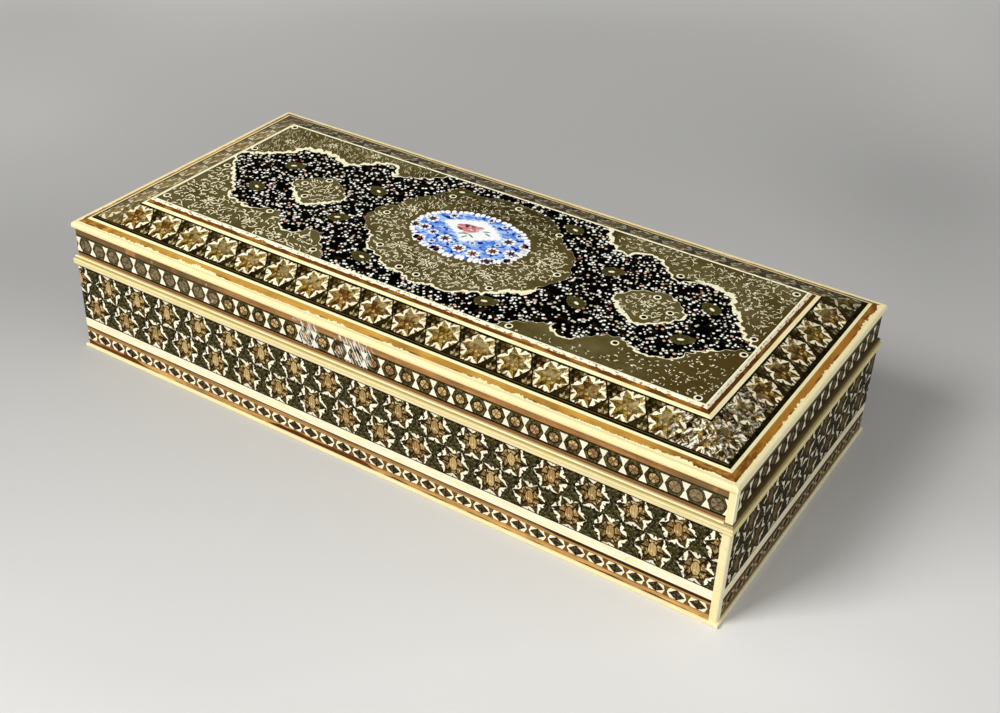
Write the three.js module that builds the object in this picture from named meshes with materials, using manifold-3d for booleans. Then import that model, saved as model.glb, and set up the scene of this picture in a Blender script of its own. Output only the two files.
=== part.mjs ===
// Khatam jewelry box: a long, low wooden box with a hipped lid, veneered all round with star marquetry,
// edged with mitred cream strips and wood lines, lined with velvet, and hung on two small brass butt hinges.
// Millimetres, +Z up. The origin is the centre of the underside, +X runs along the length, the front long
// side faces -Y and the hinges are at +Y.

import * as THREE from 'three';
import { mergeVertices } from 'three/addons/utils/BufferGeometryUtils.js';
import Module from 'manifold-3d';

const wasm = await Module();
wasm.setup();

// Outline over the base rim and the foot
const LENGTH = 222;
const WIDTH = 103;

// Base carcass: thin boards, with the veneer glued to their outside
const BASE_HEIGHT = 32.6;
const WALL = 5.5;
const FLOOR = 4;
const VENEER = 1.6;
const BASE_SET_BACK = 0.7;

// Strips and veneers on the base, from the table up
const FOOT_HEIGHT = 1.2;
const FOOT_ROUND = 0.4;
const BORDER_HEIGHT = 9.8;
const BASE_RIM_HEIGHT = 2.4;
const BASE_RIM_ROUND = 0.6;
const CORNER_STRIP = 2.2;
const CORNER_ROUND = 0.5;

// Lid sides, from the parting line up
const PARTING = 0.2;
const LID_SET_BACK = 1.3;
const LID_WALL_HEIGHT = 7;
const LID_RIM_HEIGHT = 0.6;
const LID_RIM_ROUND = 0.3;
const LID_RIM_SET_BACK = 0.4;
const LID_RIM_LINE = 1.2;
const LID_BAND_HEIGHT = 8;

// Rounded cream moulding round the lid's edge
const MOULDING_SET_BACK = 0.5;
const MOULDING_WIDTH = 1.45;
const MOULDING_HEIGHT = 2.3;
const NOSE_SHARE = 0.45;
const NOSE_STEPS = 4;
const ROUND_STEPS = 3;

// Hipped border and the raised frame round the painted panel
const SLOPE_ANGLE = 18.9;
const SLOPE_WIDTH = 13.7;
const SHEET = 1.2;
const FRAME_LINE = 1.1;
const FRAME_STEP_WIDTH = 1.5;
const FRAME_STEP_HEIGHT = 1.2;
const PANEL_SHY = 0.1;

// Velvet on card: a pad under the lid, a pad on the floor and a band round the walls
const LINING = 1.2;
const LINING_SHY = 1;
const LINING_FIT = 0.1;

// Butt hinges, let into the two back rims
const HINGE_FROM_END = 43;
const HINGE_LENGTH = 18;
const HINGE_INSET = 0.9;
const MIDDLE_KNUCKLE = 7;
const KNUCKLE_GAP = 0.3;
const BARREL_RADIUS = 1.4;
const PIN_RADIUS = 0.6;
const PIN_HEAD = 0.4;
const PIN_HEAD_LIP = 0.3;
const HEAD_CLEARANCE = 0.1;
const PIN_CLEARANCE = 0.08;
const LEAF_THICKNESS = 0.7;
const LEAF_MARGIN = 0.8;
const LEAF_FIT = 0.1;
const HINGE_CLEARANCE = 0.25;
const SCREW_HOLE_RADIUS = 0.9;
const SCREW_SPACING = 11;
const BARREL_FACES = 24;
const PIN_FACES = 12;
const SCREW_FACES = 16;

// How far the lid opens before the bevelled back rims meet
const OPEN_ANGLE = 100;

// Glue line at each mitre and under each sloped sheet
const GLUE = 0.05;

// How far a cutting tool runs on past what it cuts
const OVERCUT = 1;

// Places that follow from the sizes above
const tan = (degrees) => Math.tan(THREE.MathUtils.degToRad(degrees));
const cos = (degrees) => Math.cos(THREE.MathUtils.degToRad(degrees));
const baseCarcass = BASE_SET_BACK + VENEER;
const baseInside = baseCarcass + WALL;
const lidCarcass = baseCarcass;
const borderTop = FOOT_HEIGHT + BORDER_HEIGHT;
const fieldTop = BASE_HEIGHT - BASE_RIM_HEIGHT;
const partingHeight = BASE_HEIGHT + PARTING / 2;
const lidBottom = BASE_HEIGHT + PARTING;
const lidWallTop = lidBottom + LID_WALL_HEIGHT;
const lidRimTop = lidBottom + LID_RIM_HEIGHT;
const bandBottom = lidRimTop + LID_RIM_LINE;
const bandTop = bandBottom + LID_BAND_HEIGHT;
const slopeStart = MOULDING_SET_BACK + MOULDING_WIDTH;
const slopeEnd = slopeStart + SLOPE_WIDTH;
const slopeRise = tan(SLOPE_ANGLE);
const slopeHeight = (inset) => bandTop + MOULDING_HEIGHT + (inset - slopeStart) * slopeRise;
const sheetDrop = SHEET / cos(SLOPE_ANGLE);
const plateau = slopeHeight(slopeEnd) - sheetDrop;
const frameLineEnd = slopeEnd + FRAME_LINE;
const panelInset = frameLineEnd + FRAME_STEP_WIDTH;
const frameTop = slopeHeight(frameLineEnd) + FRAME_STEP_HEIGHT;
const hingeAxis = WIDTH / 2 - HINGE_INSET;
const hingeReach = BARREL_RADIUS + HINGE_CLEARANCE;
const leafInner = WIDTH / 2 - baseInside + LEAF_MARGIN;

const SIDES = ['front', 'back', 'left', 'right'];
const runsAlongX = (side) => side === 'front' || side === 'back';
const halfRun = (side) => (runsAlongX(side) ? LENGTH : WIDTH) / 2;

const FINISHES = {
  carcass: { color: 0xa9794a, roughness: 0.6 },
  khatam: { color: 0x6f6243, roughness: 0.3 },
  cream: { color: 0xf2e6b8, roughness: 0.35 },
  woodLine: { color: 0xa8652c, roughness: 0.35 },
  painting: { color: 0x5d5636, roughness: 0.25 },
  velvet: { color: 0x7a1420, roughness: 0.95 },
  brass: { color: 0xc39a4a, roughness: 0.35, metalness: 1 },
};

const box = new THREE.Group();
box.name = 'khatam_jewelry_box';

function add(name, geometry, finish) {
  const mesh = new THREE.Mesh(geometry, new THREE.MeshStandardMaterial(FINISHES[finish]));
  mesh.name = name;
  box.add(mesh);
}

// A point beside one side of the box: how far in from the outline, how far along the side, and how high
function pointOn(side, inset, along, height) {
  const out = halfRun(runsAlongX(side) ? 'left' : 'front') - inset;
  const across = side === 'front' || side === 'left' ? -out : out;
  return runsAlongX(side) ? [along, across, height] : [across, along, height];
}

// Six times the signed volume, which is negative where the faces point inward
function signedVolume(points, faces) {
  const corners = [new THREE.Vector3(), new THREE.Vector3(), new THREE.Vector3()];
  return faces.reduce((sum, face) => {
    face.forEach((index, k) => corners[k].fromArray(points[index]));
    return sum + corners[0].dot(corners[1].cross(corners[2]));
  }, 0);
}

// A closed solid through rings of points: neighbouring rings are joined, and the first and last are capped
function loft(rings, outline) {
  const points = rings.flat();
  const count = outline.length;
  const faces = [];
  rings.slice(1).forEach((_, ring) => {
    for (let i = 0; i < count; i += 1) {
      const j = (i + 1) % count;
      const [a, b] = [ring * count + i, ring * count + j];
      faces.push([a, b, b + count], [a, b + count, a + count]);
    }
  });
  const last = points.length - count;
  const clockwise = THREE.ShapeUtils.isClockWise(outline);
  THREE.ShapeUtils.triangulateShape(outline, []).forEach((face) => {
    const [a, b, c] = clockwise ? face.reverse() : face;
    faces.push([c, b, a], [last + a, last + b, last + c]);
  });
  const outward = signedVolume(points, faces) > 0 ? faces : faces.map(([a, b, c]) => [a, c, b]);
  const geometry = new THREE.BufferGeometry();
  geometry.setAttribute('position', new THREE.Float32BufferAttribute(points.flat(), 3));
  geometry.setIndex(outward.flat());
  return geometry;
}

// A strip along one side with a profile of [inset, height] points; endAt gives how far short of the corner
// the strip stops at each inset
function strip(side, profile, endAt) {
  const outline = profile.map(([inset, height]) => new THREE.Vector2(inset, height));
  const ends = [-1, 1].map((end) =>
    profile.map(([inset, height]) => pointOn(side, inset, end * (halfRun(side) - endAt(inset)), height)));
  return loft(ends, outline);
}

const mitred = (side, profile) => strip(side, profile, (inset) => inset + GLUE);
const butted = (side, profile, stop) => strip(side, profile, () => stop);

const rectangle = (outer, inner, bottom, top) => [[outer, bottom], [inner, bottom], [inner, top], [outer, top]];

// Points round a quarter of an ellipse, clockwise from a starting angle in degrees
function quarter(inset, height, inRadius, upRadius, from, steps) {
  return Array.from({ length: steps + 1 }, (_, i) => {
    const angle = THREE.MathUtils.degToRad(from - (90 * i) / steps);
    return [inset + inRadius * Math.cos(angle), height + upRadius * Math.sin(angle)];
  });
}

// A strip's profile with its outer nose rounded at both edges, from the bottom inner corner up
function nosed(outer, inner, bottom, top, radius) {
  return [
    [inner, bottom],
    ...quarter(outer + radius, bottom + radius, radius, radius, 270, ROUND_STEPS),
    ...quarter(outer + radius, top - radius, radius, radius, 180, ROUND_STEPS),
    [inner, top],
  ];
}

function block(x0, x1, y0, y1, z0, z1) {
  const geometry = new THREE.BoxGeometry(x1 - x0, y1 - y0, z1 - z0);
  return geometry.translate((x0 + x1) / 2, (y0 + y1) / 2, (z0 + z1) / 2);
}

// A block centred on the box, with its four sides at one inset
function centredBlock(inset, bottom, top) {
  const [x, y] = [LENGTH / 2 - inset, WIDTH / 2 - inset];
  return block(-x, x, -y, y, bottom, top);
}

// A rod along X about the hinge axis
function rod(radius, x0, x1) {
  const geometry = new THREE.CylinderGeometry(radius, radius, x1 - x0, BARREL_FACES);
  return geometry.rotateZ(Math.PI / 2).translate((x0 + x1) / 2, hingeAxis, partingHeight);
}

function toSolid(geometry) {
  const bare = geometry.clone();
  bare.deleteAttribute('normal');
  bare.deleteAttribute('uv');
  const merged = mergeVertices(bare);
  return new wasm.Manifold(new wasm.Mesh({
    numProp: 3,
    vertProperties: new Float32Array(merged.attributes.position.array),
    triVerts: new Uint32Array(merged.index.array),
  }));
}

function fromSolid(solid) {
  const { vertProperties, triVerts } = solid.getMesh();
  const geometry = new THREE.BufferGeometry();
  geometry.setAttribute('position', new THREE.Float32BufferAttribute(vertProperties, 3));
  geometry.setIndex(new THREE.Uint32BufferAttribute(triVerts, 1));
  return geometry;
}

function cut(geometry, tools) {
  return fromSolid(tools.map(toSolid).reduce((solid, tool) => solid.subtract(tool), toSolid(geometry)));
}

function join(geometries) {
  return fromSolid(geometries.map(toSolid).reduce((whole, solid) => whole.add(solid)));
}

// Room for the two hinges in the back walls and rims: a slot for the barrel, and a shallow bed for the leaf
const hingeCentre = LENGTH / 2 - HINGE_FROM_END;
const hingeCentres = { left: -hingeCentre, right: hingeCentre };
const barrelSlots = Object.values(hingeCentres).map((x) => {
  const half = HINGE_LENGTH / 2 + HEAD_CLEARANCE + PIN_HEAD + HINGE_CLEARANCE;
  return block(x - half, x + half, hingeAxis - hingeReach, WIDTH / 2 + hingeReach,
    partingHeight - hingeReach, partingHeight + hingeReach);
});
const leafBeds = Object.values(hingeCentres).map((x) => {
  const half = HINGE_LENGTH / 2 + LEAF_FIT;
  const depth = PARTING / 2 + LEAF_THICKNESS;
  const [bottom, top] = [partingHeight - depth, partingHeight + depth];
  return block(x - half, x + half, leafInner - LEAF_FIT, hingeAxis, bottom, top);
});

// Bevels along the back rims: the lower one falls away from the axis by half the opening angle, and the
// upper one mirrors it, so that the two faces meet when the lid leans back
function rimBevel(up) {
  const outer = hingeAxis + HINGE_INSET + OVERCUT;
  const face = partingHeight + (up * PARTING) / 2;
  const fall = face + up * (outer - hingeAxis) * tan(OPEN_ANGLE / 2);
  const beyond = partingHeight - up * OVERCUT;
  const corners = [[hingeAxis, face], [outer, fall], [outer, beyond], [hingeAxis, beyond]];
  const outline = corners.map(([y, z]) => new THREE.Vector2(y, z));
  return loft([-LENGTH, LENGTH].map((x) => corners.map(([y, z]) => [x, y, z])), outline);
}
const lowerBevel = rimBevel(-1);
const upperBevel = rimBevel(1);

// Base: the carcass boards, rebated at the corners for the corner strips
const CORNERS = [
  { name: 'front_left', sx: -1, sy: -1 },
  { name: 'front_right', sx: 1, sy: -1 },
  { name: 'back_left', sx: -1, sy: 1 },
  { name: 'back_right', sx: 1, sy: 1 },
];
const cornerStop = BASE_SET_BACK + CORNER_STRIP;
const cornerRebates = CORNERS.map(({ sx, sy }) => {
  const depth = cornerStop + GLUE;
  const [xa, xb] = [sx * (LENGTH / 2 - depth), (sx * LENGTH) / 2].sort((a, b) => a - b);
  const [ya, yb] = [sy * (WIDTH / 2 - depth), (sy * WIDTH) / 2].sort((a, b) => a - b);
  return block(xa, xb, ya, yb, FOOT_HEIGHT, fieldTop);
});

add('base_floor', centredBlock(baseInside, 0, FLOOR), 'carcass');
SIDES.forEach((side) => {
  const profile = rectangle(baseCarcass, baseInside, 0, BASE_HEIGHT);
  const board = butted(side, profile, runsAlongX(side) ? baseCarcass : baseInside);
  const tools = side === 'back' ? [...barrelSlots, ...leafBeds] : [];
  add(`base_wall_${side}`, cut(board, runsAlongX(side) ? [...tools, ...cornerRebates] : tools), 'carcass');
});

// Base: foot strips, veneers, rims and corner strips
SIDES.forEach((side) => {
  add(`foot_strip_${side}`, mitred(side, nosed(0, baseCarcass, 0, FOOT_HEIGHT, FOOT_ROUND)), 'cream');
  const border = rectangle(BASE_SET_BACK, baseCarcass, FOOT_HEIGHT, borderTop);
  add(`base_border_${side}`, butted(side, border, cornerStop), 'woodLine');
  const field = rectangle(BASE_SET_BACK, baseCarcass, borderTop, fieldTop);
  add(`base_field_${side}`, butted(side, field, cornerStop), 'khatam');
  const rim = mitred(side, nosed(0, baseCarcass, fieldTop, BASE_HEIGHT, BASE_RIM_ROUND));
  const slots = side === 'back' ? barrelSlots : [];
  add(`base_rim_${side}`, side === 'front' ? rim : cut(rim, [...slots, lowerBevel]), 'cream');
});

// A square strip up a corner, with its outer arris rounded
function cornerStrip({ sx, sy }) {
  const [u0, v0] = [LENGTH / 2 - BASE_SET_BACK, WIDTH / 2 - BASE_SET_BACK];
  const round = Array.from({ length: ROUND_STEPS + 1 }, (_, i) => (Math.PI / 2) * (i / ROUND_STEPS));
  const outline = [
    [CORNER_STRIP, CORNER_STRIP],
    [0, CORNER_STRIP],
    ...round.map((angle) => [CORNER_ROUND * (1 - Math.cos(angle)), CORNER_ROUND * (1 - Math.sin(angle))]),
    [CORNER_STRIP, 0],
  ].map(([u, v]) => new THREE.Vector2(u, v));
  const rings = [FOOT_HEIGHT, fieldTop].map((height) =>
    outline.map(({ x, y }) => [sx * (u0 - x), sy * (v0 - y), height]));
  return loft(rings, outline);
}
CORNERS.forEach((corner) => add(`corner_strip_${corner.name}`, cornerStrip(corner), 'cream'));

// Base: the velvet lining
add('base_lining_floor', centredBlock(baseInside + LINING_FIT, FLOOR, FLOOR + LINING), 'velvet');
const liningBottom = FLOOR + LINING;
const liningTop = BASE_HEIGHT - LINING_SHY;
add('base_lining_band', cut(
  centredBlock(baseInside + LINING_FIT, liningBottom, liningTop),
  [centredBlock(baseInside + LINING_FIT + LINING, liningBottom - LINING, liningTop + LINING)],
), 'velvet');

// Lid: the carcass boards and the hipped top, a raised board whose sloping margin carries the border
SIDES.forEach((side) => {
  const profile = rectangle(lidCarcass, baseInside, lidBottom, lidWallTop);
  const board = butted(side, profile, runsAlongX(side) ? lidCarcass : baseInside);
  add(`lid_wall_${side}`, side === 'back' ? cut(board, [...barrelSlots, ...leafBeds]) : board, 'carcass');
});

const boardLevels = [
  [lidCarcass, lidWallTop], [lidCarcass, bandTop], [slopeStart, bandTop],
  [slopeStart, slopeHeight(slopeStart) - sheetDrop], [slopeEnd, plateau],
];
const boardRing = ([inset, height]) => {
  const [x, y] = [LENGTH / 2 - inset, WIDTH / 2 - inset];
  return [[-x, -y, height], [x, -y, height], [x, y, height], [-x, y, height]];
};
const boardOutline = boardRing(boardLevels[0]).map(([x, y]) => new THREE.Vector2(x, y));
add('lid_board', loft(boardLevels.map(boardRing), boardOutline), 'carcass');

// Lid: rims, side bands, mouldings, sloped borders and the stepped frame round the painting
const lidRimProfile = [
  [lidCarcass, lidBottom],
  ...quarter(LID_RIM_SET_BACK + LID_RIM_ROUND, lidBottom + LID_RIM_ROUND, LID_RIM_ROUND, LID_RIM_ROUND,
    270, ROUND_STEPS),
  [LID_RIM_SET_BACK + LID_RIM_ROUND, lidRimTop],
  [LID_SET_BACK, lidRimTop],
  [LID_SET_BACK, bandBottom],
  [lidCarcass, bandBottom],
];
const noseDepth = MOULDING_WIDTH / 2;
const noseBelow = MOULDING_HEIGHT * NOSE_SHARE;
const noseAbove = MOULDING_HEIGHT - noseBelow;
const [noseInset, noseHeight] = [MOULDING_SET_BACK + noseDepth, bandTop + noseBelow];
const mouldingProfile = [
  [slopeStart, bandTop],
  ...quarter(noseInset, noseHeight, noseDepth, noseBelow, 270, NOSE_STEPS),
  ...quarter(noseInset, noseHeight, noseDepth, noseAbove, 180, NOSE_STEPS).slice(1),
  [slopeStart, slopeHeight(slopeStart)],
];
const sheetProfile = [
  [slopeStart, slopeHeight(slopeStart) - sheetDrop + GLUE],
  [slopeEnd, slopeHeight(slopeEnd) - sheetDrop + GLUE],
  [slopeEnd, slopeHeight(slopeEnd)],
  [slopeStart, slopeHeight(slopeStart)],
];
const frameProfile = [
  [slopeEnd, plateau],
  [panelInset, plateau],
  [panelInset, frameTop],
  [frameLineEnd, slopeHeight(frameLineEnd)],
  [slopeEnd, slopeHeight(slopeEnd)],
];
SIDES.forEach((side) => {
  const rim = mitred(side, lidRimProfile);
  const slots = side === 'back' ? barrelSlots : [];
  add(`lid_rim_${side}`, side === 'front' ? rim : cut(rim, [...slots, upperBevel]), 'cream');
  add(`lid_band_${side}`, mitred(side, rectangle(LID_SET_BACK, lidCarcass, bandBottom, bandTop)), 'khatam');
  add(`lid_moulding_${side}`, mitred(side, mouldingProfile), 'cream');
  add(`lid_border_${side}`, mitred(side, sheetProfile), 'khatam');
  add(`panel_frame_${side}`, mitred(side, frameProfile), 'woodLine');
});
add('painted_panel', centredBlock(panelInset, plateau, frameTop - PANEL_SHY), 'painting');
add('lid_lining', centredBlock(baseInside + LINING_FIT, lidWallTop - LINING, lidWallTop), 'velvet');

// Hinges: each leaf is a plate rolled into knuckles, two on the base leaf and one between them on the lid's
const halfHinge = HINGE_LENGTH / 2;
const middle = MIDDLE_KNUCKLE / 2;
const LEAVES = {
  base: {
    up: -1,
    knuckles: [[-halfHinge, -middle - KNUCKLE_GAP], [middle + KNUCKLE_GAP, halfHinge]],
    notches: [[-middle - KNUCKLE_GAP, middle + KNUCKLE_GAP]],
  },
  lid: {
    up: 1,
    knuckles: [[-middle, middle]],
    notches: [[-halfHinge - OVERCUT, -middle], [middle, halfHinge + OVERCUT]],
  },
};

function leaf(centre, { up, knuckles, notches }) {
  const near = partingHeight + (up * PARTING) / 2;
  const far = near + up * LEAF_THICKNESS;
  const [bottom, top] = [Math.min(near, far), Math.max(near, far)];
  const plate = block(centre - halfHinge, centre + halfHinge, leafInner, hingeAxis, bottom, top);
  const [inner, outer] = [hingeAxis - hingeReach, hingeAxis + hingeReach];
  const gaps = notches.map(([x0, x1]) =>
    block(centre + x0, centre + x1, inner, outer, bottom - OVERCUT, top + OVERCUT));
  const barrel = knuckles.map(([x0, x1]) => rod(BARREL_RADIUS, centre + x0, centre + x1));
  const bore = rod(PIN_RADIUS + PIN_CLEARANCE, centre - halfHinge - OVERCUT, centre + halfHinge + OVERCUT);
  const depth = LEAF_THICKNESS + 2 * OVERCUT;
  const screwHoles = [-1, 1].map((end) =>
    new THREE.CylinderGeometry(SCREW_HOLE_RADIUS, SCREW_HOLE_RADIUS, depth, SCREW_FACES)
      .rotateX(Math.PI / 2)
      .translate(centre + (end * SCREW_SPACING) / 2, (leafInner + inner) / 2, (bottom + top) / 2));
  return cut(join([cut(plate, gaps), ...barrel]), [bore, ...screwHoles]);
}

// A pin with a low domed head at each end, holding the knuckles together
function pin(centre) {
  const half = halfHinge + HEAD_CLEARANCE;
  const headRadius = PIN_RADIUS + PIN_HEAD_LIP;
  const upper = [[PIN_RADIUS, half], [headRadius, half], [headRadius, half + PIN_HEAD / 2],
    [PIN_RADIUS, half + PIN_HEAD], [0, half + PIN_HEAD]];
  const lower = upper.map(([radius, height]) => [radius, -height]).reverse();
  const profile = [...lower, ...upper].map(([radius, height]) => new THREE.Vector2(radius, height));
  return new THREE.LatheGeometry(profile, PIN_FACES)
    .rotateZ(Math.PI / 2)
    .translate(centre, hingeAxis, partingHeight);
}

Object.entries(hingeCentres).forEach(([side, x]) => {
  add(`hinge_base_leaf_${side}`, leaf(x, LEAVES.base), 'brass');
  add(`hinge_lid_leaf_${side}`, leaf(x, LEAVES.lid), 'brass');
  add(`hinge_pin_${side}`, pin(x), 'brass');
});

export default box;
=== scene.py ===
"""A khatam jewelry box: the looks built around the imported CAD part.

The box stands on the origin, +Z up, its front facing -Y. Lengths in the formulas are millimetres.
"""

import math

import bpy
import numpy as np
from mathutils import Matrix, Vector


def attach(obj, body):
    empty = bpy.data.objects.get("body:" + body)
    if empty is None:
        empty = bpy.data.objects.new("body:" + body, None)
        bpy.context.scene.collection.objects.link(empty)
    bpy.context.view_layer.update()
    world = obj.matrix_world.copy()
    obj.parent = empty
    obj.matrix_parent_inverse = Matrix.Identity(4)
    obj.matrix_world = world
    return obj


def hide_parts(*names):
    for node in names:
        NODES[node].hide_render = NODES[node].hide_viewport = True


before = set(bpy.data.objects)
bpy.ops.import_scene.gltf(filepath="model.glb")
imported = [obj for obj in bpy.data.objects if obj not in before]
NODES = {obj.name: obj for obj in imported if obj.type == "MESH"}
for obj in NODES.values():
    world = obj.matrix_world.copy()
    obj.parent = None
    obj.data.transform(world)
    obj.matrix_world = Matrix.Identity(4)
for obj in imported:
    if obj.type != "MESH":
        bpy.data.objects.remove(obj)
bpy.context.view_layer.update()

MM = 0.001
HALF_LENGTH = 111.0
HALF_WIDTH = 51.5
SLOPE = math.radians(18.9)
SLOPE_INSET = 1.95
PANEL_TOP = 51.07
PANEL_HALF = (92.75, 33.25)
SEED = 11

# The right end's pieces start at this x: painted shade darkens their khatam and lines there, and painted
# light makes their cream strips paler
RIGHT_END = 108.0

# The khatam's repeats in mm: the pitch of its figures and the height of their middles
SLOPE_PITCH = 11.15
SLOPE_LEVEL = 9.2
FIELD_PITCH = 12.16
FIELD_LEVEL = 15.8
FIELD_ROW = 9.6
BAND_PITCH = 5.72
BAND_LEVEL = 37.45
BORDER_PITCH = 5.93
BORDER_LEVEL = 4.6

# Heights where a side's bands end, and distances up the slope where its lines and its stars end
LOWER_WOOD_TOP = 2.9
UPPER_WOOD_BOTTOM = 6.7
CREAM_BOTTOM = 7.9
FIELD_BOTTOM = 11.3
FIELD_TOP = 29.7
BAND_BOTTOM = 34.9
BAND_TOP = 40.3
SLOPE_WOOD_END = 2.15
SLOPE_CREAM_END = 3.17
SLOPE_STARS = (4.4, 14.05)


# Arithmetic on material nodes


class Term:
    """A number inside a material. Plain arithmetic on it adds the Math nodes."""

    def __init__(self, socket):
        self.socket = socket

    def __add__(self, other):
        return calculate("ADD", self, other)

    __radd__ = __add__

    def __sub__(self, other):
        return calculate("SUBTRACT", self, other)

    def __rsub__(self, other):
        return calculate("SUBTRACT", other, self)

    def __mul__(self, other):
        return calculate("MULTIPLY", self, other)

    __rmul__ = __mul__

    def __truediv__(self, other):
        return calculate("DIVIDE", self, other)

    def __abs__(self):
        return calculate("ABSOLUTE", self)


def tone(red, green, blue):
    """A display colour from 0 to 255 as linear light."""
    values = [value / 255 for value in (red, green, blue)]
    linear = [v / 12.92 if v <= 0.04045 else ((v + 0.055) / 1.055) ** 2.4 for v in values]
    return (*linear, 1.0)


def feed(slot, value):
    """Gives a node's input a term, another node's output, a number, or a display colour as a tuple."""
    if isinstance(value, Term):
        value = value.socket
    if isinstance(value, bpy.types.NodeSocket):
        slot.id_data.links.new(value, slot)
    elif isinstance(value, tuple):
        slot.default_value = tone(*value)[:len(slot.default_value)]
    else:
        slot.default_value = value


def add_node(tree, kind, *values, **settings):
    """A new node with these settings, whose first inputs take the values."""
    node = tree.nodes.new("ShaderNode" + kind)
    for key, value in settings.items():
        setattr(node, key, value)
    for slot, value in zip(node.inputs, values):
        feed(slot, value)
    return node


def tree_of(*terms):
    """The node tree that the terms are in."""
    return next(term.socket.id_data for term in terms if isinstance(term, Term))


def calculate(operation, *terms, clamp=False):
    """One Math node of these terms."""
    return Term(add_node(tree_of(*terms), "Math", *terms, operation=operation, use_clamp=clamp).outputs[0])


def floor(term):
    return calculate("FLOOR", term)


def fraction(term):
    return calculate("FRACT", term)


def least(first, *others):
    for other in others:
        first = calculate("MINIMUM", first, other)
    return first


def greatest(first, *others):
    for other in others:
        first = calculate("MAXIMUM", first, other)
    return first


def below(term, limit, soft=0.05):
    """1 where term is under limit and 0 above it, crossing over within soft."""
    return calculate("MULTIPLY", (limit - term) + soft / 2, 1 / soft, clamp=True)


def above(term, limit, soft=0.05):
    """1 where term is over limit and 0 under it, crossing over within soft."""
    return calculate("MULTIPLY", (term - limit) + soft / 2, 1 / soft, clamp=True)


def between(term, low, high, soft=0.05):
    return above(term, low, soft) * below(term, high, soft)


def repeats(along, pitch):
    """The number of the nearest of evenly spaced places, and how far past it the point is."""
    number = floor(along / pitch + 0.5)
    return number, along - number * pitch


def pattern(kind, x, y, z=0.0, **inputs):
    """A texture node looked up at the terms."""
    tree = tree_of(x, y, z)
    node = add_node(tree, kind, add_node(tree, "CombineXYZ", x, y, z).outputs[0])
    for key, value in inputs.items():
        feed(node.inputs[key], value)
    return node


def chance(x, y, z=0.0):
    """A random number from 0 to 1 for each value of the terms."""
    return Term(pattern("TexWhiteNoise", x, y, z).outputs["Value"])


def noise(x, y, z=0.0, detail=2.0, roughness=0.5):
    """Smooth noise about 0.5, one feature to each unit of the terms."""
    node = pattern("TexNoise", x, y, z, Scale=1.0, Detail=detail, Roughness=roughness)
    return Term(node.outputs["Fac"])


def cells(x, y):
    """Distance from the nearest scattered point, and that point's random colour as three terms."""
    node = pattern("TexVoronoi", x, y, Scale=1.0)
    parts = add_node(node.id_data, "SeparateColor", node.outputs["Color"])
    return Term(node.outputs["Distance"]), [Term(socket) for socket in parts.outputs]


def blend(under, over, amount):
    """The colour over laid on the colour under, where amount is 1."""
    node = add_node(tree_of(amount), "Mix", amount, data_type="RGBA")
    feed(node.inputs[6], under)
    feed(node.inputs[7], over)
    return node.outputs[2]


def layers(colour, *steps):
    """Colours laid one over the other: each step is a colour and how much of it is laid on."""
    for over, amount in steps:
        colour = blend(colour, over, amount)
    return colour


def shade(colour, amount):
    """A colour made lighter or darker by the term amount."""
    node = add_node(tree_of(amount), "VectorMath", colour, operation="SCALE")
    feed(node.inputs["Scale"], amount)
    return node.outputs[0]


# Places inside a material


def coordinate_terms(tree, output):
    """The three parts of a texture coordinate."""
    parts = add_node(tree, "SeparateXYZ", add_node(tree, "TexCoord").outputs[output])
    return [Term(socket) for socket in parts.outputs]


def place_terms(tree):
    """x, y and z of a point on the object, in mm."""
    return [term * (1 / MM) for term in coordinate_terms(tree, "Object")]


def side_terms(tree):
    """A point as (along, inset, height) of the side it is nearest to, in mm.

    along runs from the middle to the right as that side is looked at, inset is how far in the point
    is from the box's greatest outline, and the sides meet on the mitres.
    """
    x, y, z = place_terms(tree)
    from_end = HALF_LENGTH - abs(x)
    from_face = HALF_WIDTH - abs(y)
    long_side = calculate("LESS_THAN", from_face, from_end)
    along_long = x * calculate("SIGN", y) * -1.0
    along_short = y * calculate("SIGN", x)
    along = along_long * long_side + along_short * (1.0 - long_side)
    return along, least(from_end, from_face), z


def make_material(name, build, **settings):
    """A material whose base colour is what build(tree) returns, or a list of that and its relief in mm.

    settings are the shader's constants.
    """
    material = bpy.data.materials.new(name)
    material.use_nodes = True
    tree = material.node_tree
    shader = tree.nodes["Principled BSDF"]
    result = build(tree)
    if isinstance(result, list):
        result, relief = result
        bump = add_node(tree, "Bump")
        for key, value in (("Strength", 1.0), ("Distance", MM), ("Height", relief)):
            feed(bump.inputs[key], value)
        feed(shader.inputs["Normal"], bump.outputs[0])
    feed(shader.inputs["Base Color"], result)
    for key, value in settings.items():
        feed(shader.inputs[key.replace("_", " ")], value)
    return material


VARNISH = {"Roughness": 0.5, "Specular_IOR_Level": 0.01, "Coat_Weight": 0.06, "Coat_Roughness": 0.1}


# Khatam: stars, bow-ties and borders of thin three-sided rods


def fold(p, q, from_corner):
    """Folds a point into one sixth of a hexagon whose corners lie along p.

    Returns the distance out along the sixth's axis, the distance to its side, and the sixth's number.
    The axis runs through a corner if from_corner is 1, and otherwise through a flat's middle.
    """
    radius = calculate("SQRT", p * p + q * q)
    turn = calculate("ARCTAN2", q, p) * (3 / math.pi)
    shift = 0.5 if from_corner else 0.0
    sixth = floor(turn + shift)
    angle = (turn - sixth - (0.5 - shift)) * (math.pi / 3)
    return radius * calculate("COSINE", angle), radius * calculate("SINE", angle), sixth


def rods(p, q, size):
    """Three-sided rods of the given edge length seen end on: a random number each, and their seams."""
    height = size * math.sqrt(3) / 2
    lines = [q / height, (p * 0.866 + q * 0.5) / height, (p * 0.866 - q * 0.5) / height]
    tint = chance(*[floor(line) for line in lines])
    seam = greatest(*[abs(fraction(line) - 0.5) for line in lines])
    return tint, seam


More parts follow.
